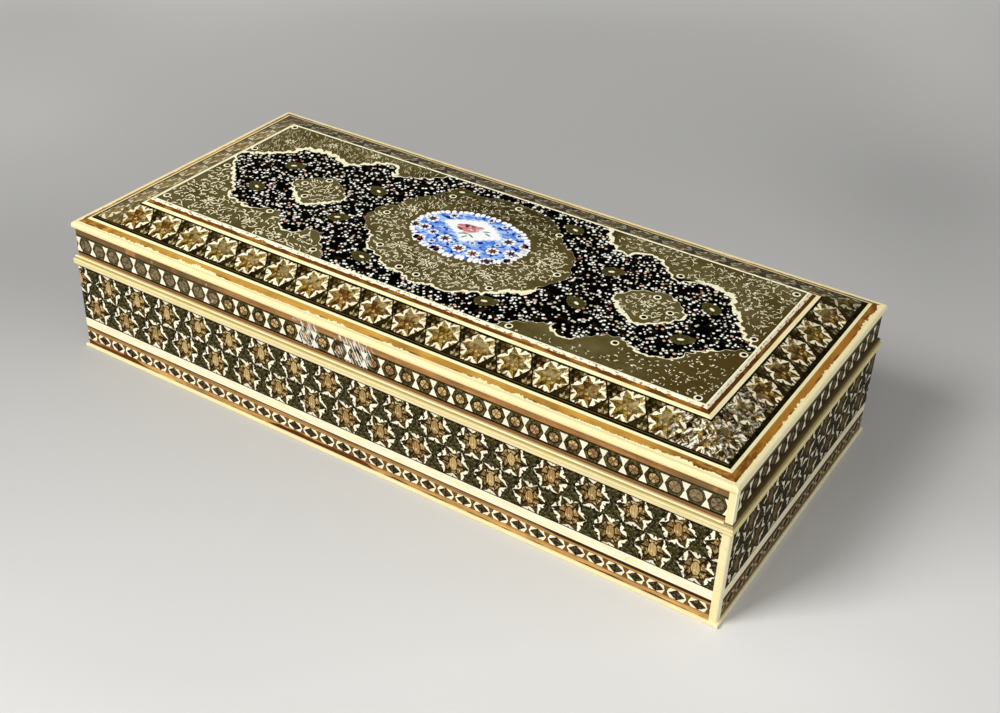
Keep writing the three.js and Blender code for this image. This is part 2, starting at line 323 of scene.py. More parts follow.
def bone_masks(p, q, reach, depth, wedge_width, wedge_depth, end, steps, bite):
    """The white pieces on the six flats of a star's hexagon, the wedges cut into them, and the hexagon.

    The white is depth thick at its flat's middle and end thick at the corners. Its inner edge goes in steps
    of half a millimetre by the share steps. A wedge cuts into the middle of its outer edge, which is eaten
    back by bite elsewhere.
    """
    flat = reach * math.sqrt(3) / 2
    out, side, sixth = fold(p, q, 0)
    side = abs(side)
    stepped = floor(side * 2.0) * 0.5 + 0.25
    edge = side * (1.0 - steps) + stepped * steps
    inner = flat - end - (depth - end) * (1.0 - edge * (2 / reach))
    outer = least(flat - wedge_depth * (1.0 - side / wedge_width), flat - greatest(bite, 0.0))
    bone = above(out, inner) * below(out, outer) * below(side, out * 0.577 - 0.08)
    hexagon = below(out, flat)
    wedge = hexagon * above(out, outer) * below(side, wedge_width)
    return bone, wedge, hexagon, out, side, sixth


def waver(u, v, amount):
    """u and v pushed about a little, as hand-set strips are."""
    pushed = []
    for term, wide, fine in ((u, 3.7, 5.1), (v, 9.1, 7.7)):
        push = (noise(u / 7, v / 7, wide) - 0.5) * amount + (noise(u / 1.3, v / 1.3, fine) - 0.5) * 0.35
        pushed.append(term + push)
    return pushed


BONE = (244, 236, 208)
BLACK = (12, 8, 3)
OLIVE = (56, 46, 16)
DARK_BROWN = (36, 22, 5)
RUST = (92, 72, 34)
ORANGE_WOOD = (196, 146, 62)
PINK_WOOD = (160, 116, 68)
CREAM = (250, 240, 190)
PALE_CREAM = (250, 240, 212)
OLD_CREAM = (244, 229, 178)


def wood_colour(u, v, colour, strength=0.5):
    """Wood with its grain along u."""
    grain = noise(u / 14, v / 0.5, 1.3, detail=4.0)
    pores = noise(u / 2.5, v / 0.16, 6.1, detail=2.0)
    return shade(colour, (grain - 0.5) * strength * 1.6 + (pores - 0.5) * strength + 1.0)


def cream_colour(u, v, base=CREAM):
    """Cream bone with faint lines along u."""
    lines = noise(u / 12, v / 0.25, 2.2, detail=3.0)
    patches = noise(u / 5, v / 2, 8.4, detail=3.0)
    colour = blend(base, (246, 226, 150), above(noise(u / 9, v / 0.7, 5.0), 0.56, 0.16) * 0.6)
    flecks = above(noise(u / 1.1, v / 0.5, 6.0, detail=3.0), 0.7, 0.06) * 0.5
    colour = blend(colour, (164, 130, 70), flecks)
    return shade(colour, (lines - 0.5) * 0.2 + (patches - 0.5) * 0.14 + 1.0)


def uneven(u, v):
    """A faint unevenness of the varnish, in mm."""
    return noise(u / 2.2, v / 2.2, 12.0, detail=3.0) * 0.09


def lid_border(tree):
    """The slope: a wood line, a cream line, then one row of big stars between black lines."""
    u, inset, _ = side_terms(tree)
    x, y, _ = place_terms(tree)
    v = (inset - SLOPE_INSET) / math.cos(SLOPE)
    su, sv = waver(u, v, 0.9)
    star_number, p = repeats(su + 3.2, SLOPE_PITCH)
    q = (sv - SLOPE_LEVEL) / 1.03
    tint, seam = rods(p, q, 1.37)
    depth = noise(su / 2.4, sv / 2.4, 6.0) * 2.2 + 0.75
    bite = (noise(su / 1.5, sv / 1.5, 14.0) - 0.46) * 2.6
    bone, wedge, hexagon, out, _, sixth = bone_masks(p, q, 5.25, depth, 0.55, 1.3, 0.06, 0.1, bite)
    bone = bone * below(tint, 0.93)
    corner, across, tip = fold(p, q, 1)
    mood = chance(star_number, 3.0)
    spark = chance(star_number, tip, 5.0)

    ground = layers(
        DARK_BROWN,
        (OLIVE, above(noise(u / 9, v / 9, 4.0), 0.5, 0.2)),
        ((104, 84, 42), above(tint, 0.68)),
        ((178, 164, 118), above(tint, 0.9)),
        (BLACK, above(seam, 0.41, 0.06) * 0.7),
    )
    slant = fraction((su + sv * 0.56) / SLOPE_PITCH + 0.72)
    ground = blend(ground, (8, 7, 5), between(slant, 0.45, 0.51, 0.03) * 0.8)

    light = blend((158, 122, 50), (170, 138, 52), above(mood, 0.35, 0.2))
    dark = blend((102, 64, 18), (102, 80, 26), above(mood, 0.6, 0.2))
    star = layers(
        light,
        (dark, above(across, 0.0, 0.1)),
        (dark, below(corner, 1.5) * above(spark, 0.4)),
        ((62, 38, 14), above(tint, 0.78) * below(corner, 3.4) * 0.8),
        ((196, 166, 100), below(tint, 0.16)),
        ((46, 32, 18), above(seam, 0.42, 0.06) * 0.75),
        ((50, 32, 16), below(abs(across), 0.1) * above(corner, 2.4) * 0.8),
    )
    # Painted glare: pale patches on the upper half of the stars stand in for the varnish's reflection
    star_glare = above(sv, 8.8, 3.0) * above(noise(u / 6, v / 4, 8.0), 0.46, 0.1)
    star = blend(star, (182, 164, 112), star_glare * above(noise(u / 1.5, v / 1.5, 3.0), 0.46, 0.2) * 0.6)
    star = shade(star, chance(star_number, 8.0) * 0.3 + 0.86)

    colour = blend(ground, star, hexagon)
    ivory = shade((246, 238, 202), (chance(star_number, sixth, 9.0) - 0.5) * 0.26 + 0.98)
    colour = layers(
        colour,
        (BLACK, between(out, 2.9, 3.3, 0.2) * 0.6),
        (BLACK, between(out, 4.5, 4.85, 0.12)),
        (ivory, bone),
        ((104, 70, 28), wedge * above(tint, 0.2)),
    )

    mended = above(x + noise(x / 4, y / 4, 6.0) * 12.0 - abs(y + 40.0) * 0.3, 92.0, 4.0)
    mended = mended * below(y, -19.0, 6.0)
    patches = above(noise(x / 2.4, y / 2.4, 3.0), 0.46, 0.06) * 0.9
    colour = blend(colour, crumble(x / 1.7, y / 1.7), mended * patches)
    faded = below(x + noise(x / 9, y / 9, 2.0) * 6.0, -92.0, 3.0) * 0.36
    colour = blend(colour, (146, 126, 78), faded)
    # Painted shade: the back slope is darker, as it faces away from the light
    colour = blend(colour, (58, 48, 22), above(y, 34.0, 6.0) * 0.55)

    right_side = above(x - abs(y), HALF_LENGTH - HALF_WIDTH)
    colour = layers(
        colour,
        (BLACK, above(v, SLOPE_STARS[1])),
        (BLACK, below(v, SLOPE_STARS[0])),
        (RUST, between(v, 3.82, 4.02) * (1.0 - right_side)),
        # Painted shade: the right end's slope is darker
        ((40, 32, 10), right_side * above(tint, 0.3) * (1.0 - bone) * 0.5),
        (cream_colour(u, v), below(v, SLOPE_CREAM_END)),
        ((110, 74, 32), between(v, 2.1, 2.3) * 0.7),
    )
    burnt = (noise(u / 15, 0.0, 4.4, detail=4.0) - 0.5) * 2.2 + 1.0
    wood = shade(wood_colour(u, v, ORANGE_WOOD), least(burnt, 1.08))
    wood = blend(wood, (160, 102, 30), right_side * 0.7)
    near_corner = above(abs(x) + abs(y), 140.0, 14.0) * above(noise(u / 3, v, 3.0), 0.44, 0.2)
    wood = blend(wood, (104, 52, 14), near_corner * 0.8)
    wood = blend(wood, (70, 40, 14), below(v, 0.75) * above(noise(u / 6, 0.0, 9.0), 0.55, 0.1) * 0.7)
    colour = blend(colour, wood, below(v, SLOPE_WOOD_END))
    ragged = noise(u / 1.4, 0.0, 5.5, detail=5.0, roughness=0.7) * noise(u / 11, 0.0, 1.5)
    spill = (ragged - 0.22) * 6.0
    colour = blend(colour, cream_colour(u, v), below(v, greatest(spill, 0.0) + 0.2, 0.12))
    return [colour, uneven(u, v)]


def crumble(u, v):
    """Mended inlay: short white and brown scratches that run two ways over dark filler."""
    bend = noise(u / 1.1, v / 1.1, 2.0) * 2.0
    rising = noise((u + v) / 0.6 + bend, (u - v) / 1.7, 4.0, roughness=0.6)
    falling = noise((u - v * 0.4) / 0.55, (v + u * 0.4) / 1.6 + bend, 8.0, roughness=0.6)
    way = above(noise(u / 1.8, v / 1.8, 5.0), 0.5, 0.1)
    scratch = rising * way + falling * (1.0 - way)
    colour = layers(
        (22, 16, 6),
        ((110, 92, 50), above(scratch, 0.45, 0.05)),
        ((180, 172, 144), above(scratch, 0.52, 0.04)),
        ((250, 246, 226), above(scratch, 0.56, 0.03)),
    )
    return blend(colour, (116, 76, 32), above(noise(u / 1.4, v / 1.4, 9.0), 0.6, 0.06) * 0.75)


def base_field(tree):
    """Two rows of stars on the base, with long thin white pieces."""
    u, _, height = side_terms(tree)
    su, sv = waver(u, height, 0.8)
    row = floor((sv - FIELD_LEVEL + FIELD_ROW / 2) / FIELD_ROW)
    star_number, p = repeats(su + 0.6 + FIELD_PITCH / 2 - row * (FIELD_PITCH / 2), FIELD_PITCH)
    q = (sv - FIELD_LEVEL - row * FIELD_ROW) / 1.06
    tint, seam = rods(p, q, 1.05)
    depth = noise(su / 2.2, sv / 2.2, 6.0) * 2.4 + 0.42
    bite = (noise(su / 1.3, sv / 1.3, 14.0) - 0.45) * 2.6
    bone, wedge, hexagon, out, side, sixth = bone_masks(p, q, 5.4, depth, 0.5, 0.9, 0.02, 0.35, bite)
    bone = bone * below(tint, 0.94)
    across = fold(p, q, 1)[1]
    mood = chance(star_number, row, 2.0)

    ground = layers(
        (66, 59, 28),
        ((98, 92, 58), above(tint, 0.56)),
        ((36, 30, 10), below(tint, 0.26)),
        (BLACK, above(seam, 0.41, 0.06) * 0.7),
    )

    star = layers(
        (44, 34, 12),
        ((86, 68, 32), above(across, 0.0, 0.08)),
        ((24, 18, 6), above(tint, 0.6) * 0.8),
        ((124, 98, 50), below(tint, 0.14)),
        (BLACK, below(abs(across), 0.09) * 0.8),
    )

    petal = chance(star_number, sixth, row)
    x = place_terms(tree)[0]
    reddish = above(mood + x / 260, 0.9, 0.1) * below(x, RIGHT_END + 1.0)
    worn = noise(u / 1.1, height / 1.1, 6.0)
    heart = layers(
        (170, 140, 88),
        ((132, 106, 62), above(petal, 0.5)),
        ((90, 70, 32), above(tint, 0.72)),
        ((208, 182, 130), below(tint, 0.24)),
        ((150, 100, 62), reddish * 0.2),
    )
    round_it = below(out, 2.95 + (worn - 0.5) * 1.6)
    star = blend(star, (30, 21, 7), round_it * 0.7)
    petals = below(side, out * 0.577 - 0.3) * between(out, 1.45, 2.8 + (worn - 0.5) * 1.4)
    star = blend(star, heart, petals * above(noise(u / 0.8, height / 0.8, 9.0), 0.42, 0.06))
    middle = layers(
        (192, 162, 106),
        ((164, 134, 82), above(mood, 0.5)),
        ((172, 122, 78), reddish * 0.35),
        ((226, 204, 150), below(tint, 0.2) * 0.8),
    )
    stripe = abs(fraction(p / 0.8 + 0.3) - 0.5)
    middle = blend(middle, (66, 48, 20), below(stripe, 0.08) * 0.7)
    eye = p * p * 0.72 + q * q * 0.26
    star = blend(star, (34, 24, 8), between(eye, 0.9, 1.5, 0.2) * 0.8)
    star = blend(star, middle, below(eye + (worn - 0.5) * 0.8, 1.0, 0.15))

    colour = blend(ground, star, hexagon)
    colour = blend(colour, BLACK, between(out, 4.5, 4.86, 0.12))
    upright = between(abs(sixth + 0.5), 1.2, 1.8)
    ivory = shade(BONE, (chance(star_number, sixth, row + 5.0) - 0.5) * 0.22 + 1.06 - upright * 0.12)
    colour = layers(
        colour,
        # Painted shade: the right end's field is darker and its white pieces dimmer
        ((38, 30, 4), above(x, RIGHT_END + 1.0) * 0.72),
        (ivory, bone * (1.0 - above(x, RIGHT_END + 1.0) * 0.15)),
        ((64, 50, 20), wedge * 0.9),
        (BLACK, above(height, FIELD_TOP)),
        ((110, 72, 36), above(height, FIELD_TOP + 0.25)),
        (BLACK, below(height, FIELD_BOTTOM)),
    )
    return [colour, uneven(u, height)]


def lid_band(tree):
    """The lid's side: bow-ties and small wheels on dark olive, with a wood line above."""
    u, _, height = side_terms(tree)
    x, y, _ = place_terms(tree)
    su, sv = waver(u, height, 0.35)
    number, p = repeats(su + 0.3, BAND_PITCH)
    q = sv - BAND_LEVEL
    size = abs(q) * 0.46
    tie = below(abs(p), size + 0.1) * below(abs(q), 2.45)
    tint, seam = rods(su, sv, 0.9)
    colour = layers(
        (72, 60, 24),
        ((100, 90, 50), above(tint, 0.55)),
        ((44, 34, 10), below(tint, 0.3)),
        (BLACK, above(seam, 0.42, 0.08) * 0.6),
    )

    wheel_number, wp = repeats(su + 0.3 - BAND_PITCH / 2, BAND_PITCH)
    reach = calculate("SQRT", wp * wp + q * q)
    out, side, sixth = fold(wp, q, 0)
    mood = chance(wheel_number, 4.0)
    spoke = chance(wheel_number, sixth, 6.0)
    warm = blend((190, 146, 104), (204, 174, 114), above(mood, 0.28))
    wheel = blend(warm, (150, 116, 76), above(spoke, 0.6))
    wheel = blend(wheel, (54, 38, 24), above(abs(side), out * 0.5 - 0.1) * 0.8)
    old = greatest(below(x, -52.0, 8.0), above(x, 92.0, 8.0) * below(y, -50.0) * 0.9)
    mottled = blend((126, 114, 88), (62, 54, 36), above(noise(u / 0.9, height / 0.9, 2.0), 0.5, 0.2))
    wheel = blend(wheel, mottled, old * 0.85)
    colour = layers(
        colour,
        ((84, 80, 58), old * 0.45),
        ((34, 24, 10), below(reach, old * 0.3 + 1.75)),
        (wheel, below(reach, old * 0.5 + 1.35)),
        # Painted shade: the right end's band is darker
        ((34, 26, 6), above(x, RIGHT_END) * 0.66),
        ((108, 100, 62), between(out, 2.3, 2.42) * 0.5),
    )
    ivory = shade(BONE, (chance(number, calculate("SIGN", q), 2.0) - 0.5) * 0.18 + 0.98)
    colour = layers(
        colour,
        (BLACK, below(abs(p), size + 0.34) * below(abs(q), 2.6) * 0.85),
        (ivory, tie),
        (BLACK, below(height, BAND_BOTTOM)),
        ((40, 27, 14), above(height, BAND_TOP)),
    )
    burnt = (noise(u / 16, 0.0, 3.0, detail=4.0) - 0.5) * 2.0 + 1.0
    wood = shade(wood_colour(u, height, PINK_WOOD, 1.0), least(burnt, 1.15))
    colour = layers(
        colour,
        (wood, above(height, BAND_TOP + 0.3)),
        ((84, 76, 48), old * above(height, BAND_TOP + 0.3) * above(noise(u / 9, 0.0, 2.0), 0.4) * 0.7),
        # Painted shade: the right end's wood line is greyer and darker
        ((100, 80, 50), above(x, RIGHT_END) * above(height, BAND_TOP + 0.1) * 0.7),
    )

    # Painted glare: ragged white streaks on the front's middle stand in for a lamp's reflection in the worn
    # varnish
    streak = noise((u * 0.5 - height) / 3.0, (u + height * 0.5) / 0.55, 2.0, detail=3.0)
    glare_spread = below(abs(x + 19.5), 3.5, 4.0) * 0.3 + below(abs(x + 3.5), 5.5, 5.0) * 0.3
    patch = noise(u / 4.5, height / 3.5, 7.0) + below(abs(x + 11.5), 16.0, 6.0) * 0.06 + glare_spread
    glare_streaks = above(patch, 0.72, 0.06) * above(streak, 0.54, 0.08) * below(y, -50.0)
    colour = blend(colour, (226, 222, 208), glare_streaks)
    return [colour, uneven(u, height)]


def base_border(tree):
    """The lowest band: lozenges between lines of wood, under a cream strip."""
    u, _, height = side_terms(tree)
    x = place_terms(tree)[0]
    su, sv = waver(u, height, 0.3)
    number, p = repeats(su - 3.9, BORDER_PITCH)
    p = abs(p)
    q = abs(sv - BORDER_LEVEL)
    hexagon = below(p + q * 0.5, 2.74 + (noise(u / 1.5, height / 1.5, 3.0) - 0.5) * 0.7) * below(q, 1.55)
    tint, _ = rods(su, sv, 0.8)
    colour = blend((188, 148, 92), (152, 110, 58), above(tint, 0.5))
    cross = below(abs(BORDER_PITCH / 2 - p), q * 0.45 + 0.12)
    colour = blend(colour, (116, 80, 40), cross)
    colour = blend(colour, (60, 40, 16), below(p + q * 0.5, 2.98) * below(q, 1.75) * 0.7)
    ivory = shade((250, 238, 204), (chance(number, 3.0) - 0.5) * 0.26 + 1.0)
    colour = blend(colour, ivory, hexagon)
    dark = blend((52, 42, 26), (96, 80, 50), above(tint, 0.6))
    dark = blend(dark, BLACK, greatest(below(q, 0.12), below(p, 0.14)) * 0.8)
    colour = layers(
        colour,
        (BLACK, below(p / 2.15 + q / 1.5, 1.1, 0.06)),
        (dark, below(p / 2.15 + q / 1.5, 0.92, 0.06)),
        ((190, 148, 86), above(height, UPPER_WOOD_BOTTOM - 0.4)),
    )
    bands = noise(u / 18, 0.0, 4.0, detail=4.0) - 0.5
    upper = shade(wood_colour(u, height, (158, 118, 66), 1.3), bands * 2.0 + 1.0)
    lower = shade(wood_colour(u, height, (190, 146, 84), 1.3), bands * 2.2 + 1.0)
    colour = layers(
        colour,
        (upper, above(height, UPPER_WOOD_BOTTOM)),
        ((60, 38, 18), above(height + above(x, 60.0, 6.0) * 0.55, 7.5)),
        (lower, below(height, LOWER_WOOD_TOP)),
    )
    stained = below(x, 3.0, 5.0) * above(x, -34.0, 5.0) + below(x, -88.0, 8.0)
    burnt_top = (noise(u / 14, 0.0, 8.0, detail=3.0) - 0.5) * 4.0 + stained * 1.2 + 1.4
    burnt = below(height, burnt_top, 0.3)
    colour = layers(
        colour,
        (wood_colour(u, height, (92, 50, 18), 1.0), burnt),
        # Painted shade: the right end's border is darker
        ((62, 48, 22), above(x, RIGHT_END) * 0.6),
        (cream_colour(u, height, PALE_CREAM), above(height, CREAM_BOTTOM)),
    )
    return [colour, uneven(u, height)]


def base_corner(tree):
    """The front left and back right edges, where the sides' own patterns run out to the corner."""
    height = side_terms(tree)[2]
    return blend(base_border(tree)[0], base_field(tree)[0], above(height, FIELD_BOTTOM - 0.3))


# Strips, wood, brass and velvet


def cream_strip(tree):
    """Old cream, with painted light making it paler on the right end."""
    u, inset, height = side_terms(tree)
    pale = above(place_terms(tree)[0], RIGHT_END + 2.0) * 0.7
    return blend(cream_colour(u, height + inset, OLD_CREAM), (255, 250, 216), pale)


def base_rim(tree):
    """Cream with a brown line along its lower edge, a faint yellow line, and painted shade along its top edge
    where the lid parts from the base.
    """
    u, _, height = side_terms(tree)
    change = above(noise(u / 9, height / 0.8, 3.0), 0.45, 0.3) * -0.12 + 0.98
    yellowed = shade(cream_colour(u, height, OLD_CREAM), change)
    return layers(
        yellowed,
        ((120, 84, 40), below(height, 30.45, 0.2) * 0.8),
        ((206, 186, 110), between(height, 31.5, 31.7, 0.1) * 0.8),
        # Painted shade: the top edge is darker along the parting line between lid and base
        ((168, 150, 84), above(height, 32.35, 0.2) * 0.8),
    )


def lid_rim(tree):
    """A thin cream line with red-brown wood over it."""
    cream_top = 33.4
    u, _, height = side_terms(tree)
    wood = wood_colour(u, height, (134, 96, 54))
    wood = blend(wood, (48, 32, 18), above(height, cream_top + 0.95))
    colour = blend(cream_colour(u, height, OLD_CREAM), wood, above(height, cream_top))
    # Painted shade: the right end's lines are darkened to dark olive
    shaded = above(place_terms(tree)[0], RIGHT_END) * above(height, cream_top - 0.3) * 0.85
    return blend(colour, (66, 54, 24), shaded)


def panel_frame(tree):
    """A cream line on the slope, then a step of brown wood with a worn cream edge on its top."""
    cream_end, wood_end = 16.74, 17.62
    u, inset, height = side_terms(tree)
    ragged = (noise(u / 3, 0.0, 5.0, detail=5.0, roughness=0.65) - 0.5) * 1.7
    wood = wood_colour(u, height, (148, 98, 34), 0.9)
    colour = blend(cream_colour(u, height), wood, above(inset, cream_end))
    stained = above(inset, cream_end + 0.02) * above(noise(u / 7, inset, 8.0), 0.46, 0.08)
    colour = blend(colour, (82, 42, 8), stained * 0.85)
    pale = blend((252, 244, 212), (150, 104, 50), above(noise(u / 1.6, inset / 0.5, 2.0), 0.58, 0.1))
    return blend(colour, pale, above(inset + ragged * 0.6, wood_end, 0.1))


def plain_wood(colour, axis):
    """A build function for wood with its grain along x or y."""

    def build(tree):
        x, y, z = place_terms(tree)
        along, across = (x, y) if axis == "x" else (y, x)
        rings = noise(along / 60, across / 3, z / 3, detail=3.0)
        lines = fraction(rings * 9.0)
        fibre = noise(along / 9, across / 0.35, z / 0.35, detail=4.0)
        amount = (lines - 0.5) * 0.14 + (fibre - 0.5) * 0.4 + 1.0
        return shade(colour, amount)

    return build


def brass(tree):
    x, y, z = place_terms(tree)
    stain = noise(x / 3, y / 3, z / 3, detail=4.0)
    return blend((222, 192, 122), (166, 128, 70), above(stain, 0.56, 0.2))


def velvet(tree):
    x, y, z = place_terms(tree)
    nap = noise(x / 22, y / 7, z / 7, detail=4.0)
    brushed = above(noise(x / 15 + 3.0, y / 15, z / 15, detail=2.0), 0.52, 0.12)
    pile = noise(x / 0.3, y / 0.3, z / 0.3, detail=1.0)
    colour = blend((118, 9, 21), (134, 15, 28), brushed)
    colour = shade(colour, (nap - 0.5) * 0.8 + (pile - 0.5) * 0.6 + 1.0)
    return [colour, pile * 0.12]


# Paint


def olive_paint(tree):
    """Olive ground with brush-grey patches and a fine dark line along its edge."""
    x, y, _ = place_terms(tree)
    patch = noise(x / 12, y / 9, 2.0, detail=4.0)
    brush = noise((x + y * 0.7) / 0.5, (y - x * 0.7) / 2.2, 5.0, detail=3.0)
    colour = blend((80, 68, 31), (106, 96, 60), above(patch, 0.5, 0.35))
    shaded = above(y - abs(x + 2.0) * 0.2, 13.0, 8.0) * below(abs(x + 2.0), 36.0, 6.0)
    shaded = shaded * above(noise(x / 2.6, y / 2.6, 6.0, detail=3.0), 0.46, 0.12)
    colour = blend(colour, (50, 42, 16), shaded * 0.8)
    colour = blend(colour, (74, 58, 22), above(x - y * 0.4, 84.0, 14.0) * 0.8)
    colour = shade(colour, (brush - 0.5) * 0.5 + 1.0)
    edge = greatest(abs(x) - PANEL_HALF[0], abs(y) - PANEL_HALF[1])
    return blend(colour, (44, 36, 16), above(edge, -0.95) * 0.8)


def black_paint(tree):
    """Black ground strewn with small white, pale and red dots."""
    x, y, _ = place_terms(tree)
    distance, (pick, size, hue) = cells((x + y * 0.12) / 1.16, (y - x * 0.1) / 1.22)
    dot = below(distance, size * 0.18 + 0.272, 0.06) * above(pick, 0.15)
    colour = blend((255, 255, 246), (214, 210, 184), above(hue, 0.72))
    flushed = above(noise(x / 8, y / 8, 4.0), 0.54, 0.1) * 0.08
    colour = blend(colour, (226, 178, 150), above(hue + flushed, 0.96))
    colour = blend(colour, (150, 92, 64), above(hue + flushed, 1.02))
    ground = blend((2, 1, 0), (34, 25, 9), above(noise(x / 3, y / 3, 1.0), 0.62, 0.1))
    return blend(ground, colour, dot)


def blue_paint(tree):
    """Blue with paler clouds and deep blue touches."""
    x, y, _ = place_terms(tree)
    cloud = noise(x / 3.2, y / 2.4, 2.0, detail=3.0)
    deep = noise(x / 1.8, y / 1.5, 7.0, detail=2.0)
    colour = blend((88, 136, 226), (174, 206, 250), above(cloud, 0.5, 0.16))
    return blend(colour, (20, 36, 150), above(deep, 0.57, 0.05))


def flat_paint(colour, change):
    """A build function for one paint with uneven strength."""

    def build(tree):
        x, y, _ = place_terms(tree)
        return shade(colour, (noise(x / 0.9, y / 0.9, 3.0, detail=3.0) - 0.5) * change + 1.0)

    return build


PILE = {
    "Roughness": 0.9,
    "Specular_IOR_Level": 0.1,
    "Sheen_Weight": 0.35,
    "Sheen_Roughness": 0.4,
    "Sheen_Tint": (236, 112, 120),
}
PANEL_GLOSS = {"Roughness": 0.5, "Specular_IOR_Level": 0.005, "Coat_Weight": 0.03, "Coat_Roughness": 0.1}
SATIN = {"Roughness": 0.55}
CARCASS_WOOD = (190, 150, 104)
FINISHES = {
    "lid_border_khatam": (lid_border, VARNISH),
    "base_field_khatam": (base_field, VARNISH),
    "lid_band_khatam": (lid_band, VARNISH),
    "base_border_khatam": (base_border, VARNISH),
    "base_corner_khatam": (base_corner, VARNISH),
    "cream_bone": (cream_strip, VARNISH),
    "base_rim_cream": (base_rim, VARNISH),
    "lid_rim_lines": (lid_rim, VARNISH),
    "panel_frame_lines": (panel_frame, VARNISH),
    "carcass_wood_x": (plain_wood(CARCASS_WOOD, "x"), SATIN),
    "carcass_wood_y": (plain_wood(CARCASS_WOOD, "y"), SATIN),
    "brass": (brass, {"Metallic": 1.0, "Roughness": 0.32}),
    "velvet": (velvet, PILE),
    "olive_paint": (olive_paint, PANEL_GLOSS),
    "black_paint": (black_paint, PANEL_GLOSS),
    "blue_paint": (blue_paint, PANEL_GLOSS),
}
MATERIALS = {name: make_material(name, build, **finish) for name, (build, finish) in FINISHES.items()}

# Each flat paint: its colour and how much its strength changes
FLAT_PAINTS = {
    "cream_paint": (250, 244, 206, 0.25),
    "scroll_paint": (248, 240, 200, 0.8),
    "dim_scroll_paint": (208, 198, 156, 0.9),
    "white_paint": (255, 255, 252, 0.12),
    "rose_paint": (208, 124, 124, 0.9),
    "blush_paint": (228, 190, 186, 0.5),
    "plum_paint": (78, 40, 74, 0.9),
    "red_paint": (150, 50, 40, 0.9),
    "leaf_paint": (110, 160, 140, 0.9),
    "sky_paint": (190, 216, 244, 0.3),
    "moss_paint": (78, 72, 34, 0.9),
    "shadow_paint": (62, 52, 26, 0.5),
    "ink_paint": (20, 16, 10, 0.4),
}
for name, (*colour, change) in FLAT_PAINTS.items():
    MATERIALS[name] = make_material(name, flat_paint(tuple(colour), change), **PANEL_GLOSS)

# The material of each CAD node, by the start of its name
NODE_LOOKS = {
    "corner_strip_front_left": "base_corner_khatam",
    "corner_strip_back_right": "base_corner_khatam",
    "lid_border": "lid_border_khatam",
    "base_field": "base_field_khatam",
    "lid_band": "lid_band_khatam",
    "base_border": "base_border_khatam",
    "lid_moulding": "cream_bone",
    "corner_strip": "cream_bone",
    "base_rim": "base_rim_cream",
    "lid_rim": "lid_rim_lines",
    "panel_frame": "panel_frame_lines",
    "foot_strip": "cream_bone",
    "painted_panel": "olive_paint",
    "hinge": "brass",
    "base_floor": "carcass_wood_x",
    "lid_board": "carcass_wood_x",
}


def look_for(node):
    """The name of the material that a CAD node wears."""
    for start, look in NODE_LOOKS.items():
        if node.startswith(start):
            return look
    return "carcass_wood_y" if node.endswith(("left", "right")) else "carcass_wood_x"


for name, node in NODES.items():
    for slot in node.material_slots:
        slot.material = MATERIALS[look_for(name)]


# Objects and their meshes


def add_object(name, data):
    """A new object of this data in the scene."""
    item = bpy.data.objects.new(name, data)
    bpy.context.scene.collection.objects.link(item)
    return item


def add_mesh(name, points, faces, material, smooth):
    """An object from points in m and faces of point numbers."""
    mesh = bpy.data.meshes.new(name)
    mesh.from_pydata(points.tolist(), [], faces)
    mesh.polygons.foreach_set("use_smooth", [smooth] * len(mesh.polygons))
    mesh.materials.append(material)
    mesh.update()
    return add_object(name, mesh)


def add_piece(name, points, faces, look, body, smooth=False):
    """One closed piece of the object, from points in mm and faces of point numbers."""
    piece = add_mesh(name, points * MM, faces, MATERIALS[look], smooth)
    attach(piece, body)
    return piece


def quads(number):
    """The four-sided faces between neighbours in a grid of point numbers."""
    corners = [number[:-1, :-1], number[:-1, 1:], number[1:, 1:], number[1:, :-1]]
    return np.stack(corners, axis=-1).reshape(-1, 4)


def around(count):
    """Angles evenly spaced round a full turn."""
    return np.linspace(0, 2 * np.pi, count, endpoint=False)


def prism(outline, low, high, start=0):
    """A closed outline, anticlockwise from above, raised from low to high."""
    outline = np.asarray(outline, dtype=float)
    count = len(outline)
    points = [np.column_stack([outline, np.full(count, level)]) for level in (low, high)]
    ring = np.arange(count)
    after = np.roll(ring, -1)
    faces = [tuple(start + ring[::-1]), tuple(start + count + ring)]
    sides = np.column_stack([ring, after, after + count, ring + count]) + start
    return np.vstack(points), faces + [tuple(side) for side in sides]


def add_prisms(name, outlines, low, high, look, slot):
    """Several raised outlines as one piece of the lid."""
    points, faces = [], []
    start = 0
    for outline in outlines:
        part, part_faces = prism(outline, low, high, start)
        points.append(part)
        faces += part_faces
        start += len(part)
    add_piece(name, np.vstack(points), faces, look, "lid")


def paint(name, outlines, low, high, look):
    """Raised paint on the lid's panel, from low to high mm over its face."""
    levels = (PANEL_TOP + low, PANEL_TOP + high)
    add_prisms(f"painted_{name}", outlines, *levels, f"{look}_paint", "painted_varnish")


def ribbon(path, left, right=None):
    """The outline of a brush line along path, left and right being its widths to either side."""
    path = np.asarray(path, dtype=float)
    right = left if right is None else right
    step = np.gradient(path, axis=0)
    step /= np.linalg.norm(step, axis=1, keepdims=True) + 1e-9
    aside = np.column_stack([-step[:, 1], step[:, 0]])
    near = path - aside * np.asarray(right)[:, None]
    far = path + aside * np.asarray(left)[:, None]
    return np.vstack([near, far[::-1]])


def ellipse(x, y, half_x, half_y, turn=0.0, count=12):
    """Points of an ellipse, anticlockwise."""
    angle = around(count)
    px, py = half_x * np.cos(angle), half_y * np.sin(angle)
    cosine, sine = math.cos(turn), math.sin(turn)
    return np.column_stack([x + px * cosine - py * sine, y + px * sine + py * cosine])


